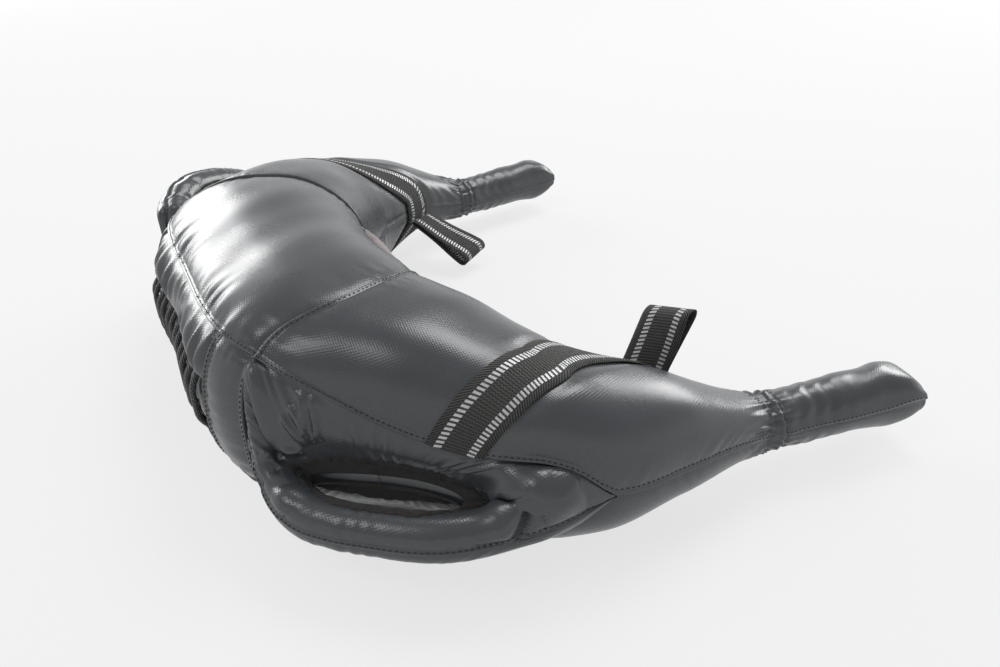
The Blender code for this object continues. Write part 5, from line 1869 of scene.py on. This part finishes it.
def main():
    """Build the scene."""
    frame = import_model()
    dress_inside(frame["nodes"])
    leather = leather_material("charcoal_leather", LEATHER_COLOUR, 0.28)
    # The neck pad's colour holds painted shade on top of its own brown
    neck_leather = smooth_leather_material("neck_leather", NECK_LEATHER_SHADED_COLOUR, 0.55)
    webbing = webbing_material("reflective_webbing", WEBBING_COLOUR)
    tape = cloth_material("frayed_tape", TAPE_COLOUR, TAPE_WEAVE_PITCH, TAPE_WEAVE_DEPTH, sheen=0.08)
    lacing = cloth_material("braided_lace", LACE_COLOUR, LACE_WEAVE_PITCH, LACE_WEAVE_DEPTH, sheen=0.35)
    thread = noise_material("sewing_thread", THREAD_COLOUR, 0.55, (2600.0, 2.0), 0.5, 1.8, FIBRE_DEPTH)

    straps = {name: strap_lines(side) for name, side in SIDES.items()}
    middles = [rows[len(rows) // 2] for rows, _ in straps.values()]
    build_seams(build_covers(middles, leather), thread)
    build_neck_pad(neck_leather)
    build_back(lacing, leather)
    for name, side in SIDES.items():
        build_side_handle(name, side, leather, tape, thread)
        build_strap(name, *straps[name], webbing)
        build_loop(name, side, webbing)
        build_grip(name, side, leather, thread)

    stage_and_light()


def softbox(name, turn, rise, distance, width, height, power):
    """A soft rectangular lamp that faces the bag."""
    lamp = bpy.data.lights.new(name, "AREA")
    lamp.shape = "RECTANGLE"
    lamp.size = width
    lamp.size_y = height
    lamp.energy = power
    item = bpy.data.objects.new(name, lamp)
    flat = distance * math.cos(rise)
    reach = Vector((flat * math.cos(turn), flat * math.sin(turn), distance * math.sin(rise)))
    item.location = Vector(LAMP_TARGET) + reach
    item.rotation_mode = "QUATERNION"
    item.rotation_quaternion = (-reach).to_track_quat("-Z", "Y")
    bpy.context.scene.collection.objects.link(item)


def white_room(scene):
    """A pale room, bright at the horizon and dimmer overhead."""
    world = bpy.data.worlds.new("white_room")
    scene.world = world
    world.use_nodes = True
    tree = world.node_tree
    light = tree.nodes["Background"]
    light.inputs["Color"].default_value = (1.0, 1.0, 1.0, 1.0)
    direction = tree.nodes.new("ShaderNodeTexCoord")
    split = tree.nodes.new("ShaderNodeSeparateXYZ")
    fade = tree.nodes.new("ShaderNodeMapRange")
    fade.interpolation_type = "SMOOTHSTEP"
    fade.inputs["From Min"].default_value = SKY_START
    fade.inputs["From Max"].default_value = SKY_END
    fade.inputs["To Min"].default_value = HORIZON_LIGHT
    fade.inputs["To Max"].default_value = SKY_LIGHT
    tree.links.new(direction.outputs["Generated"], split.inputs["Vector"])
    tree.links.new(split.outputs["Z"], fade.inputs["Value"])
    rays = tree.nodes.new("ShaderNodeLightPath")
    shown = tree.nodes.new("ShaderNodeMix")
    shown.inputs["B"].default_value = ROOM_SHOWN
    tree.links.new(rays.outputs["Is Camera Ray"], shown.inputs["Factor"])
    tree.links.new(fade.outputs["Result"], shown.inputs["A"])
    tree.links.new(shown.outputs["Result"], light.inputs["Strength"])


def stage_and_light():
    """The white floor and background, the lamps and the camera."""
    scene = bpy.context.scene
    scene.view_settings.view_transform = "Standard"

    floor = Shader("white_floor", FLOOR_COLOUR, 0.9)
    floor.main.inputs["Specular IOR Level"].default_value = 0.0
    floor.tint(floor.shades(floor.noise(3.0), FLOOR_COLOUR, 1.0, 0.99))
    glow = floor.node("ShaderNodeEmission")
    glow.inputs["Color"].default_value = (*FLOOR_GLOW_COLOUR, 1.0)
    rays = floor.node("ShaderNodeLightPath")
    seen = floor.maths("MAXIMUM", rays.outputs["Is Camera Ray"], rays.outputs["Is Glossy Ray"])
    seen = floor.maths("MAXIMUM", seen, rays.outputs["Is Transmission Ray"])
    blend = floor.node("ShaderNodeMixShader")
    floor.link(floor.maths("MULTIPLY", seen, FLOOR_GLOW_SHARE), blend.inputs[0])
    floor.link(floor.main.outputs["BSDF"], blend.inputs[1])
    floor.link(glow.outputs["Emission"], blend.inputs[2])
    floor.link(blend.outputs["Shader"], floor.tree.nodes["Material Output"].inputs["Surface"])
    half = FLOOR_SIZE / 2
    corners = [(-half, -half, 0.0), (half, -half, 0.0), (half, half, 0.0), (-half, half, 0.0)]
    mesh_object("floor", corners, [[0, 1, 2, 3]], floor.material, smooth=False)

    white_room(scene)
    for name, values in SOFTBOXES.items():
        softbox(name, *values)

    camera = bpy.data.cameras.new("camera")
    camera.lens = CAMERA_LENS
    camera.sensor_width = SENSOR_WIDTH
    item = bpy.data.objects.new("camera", camera)
    item.location = CAMERA_PLACE
    item.rotation_euler = (CAMERA_TILT, 0.0, CAMERA_TURN)
    scene.collection.objects.link(item)
    scene.camera = item


main()
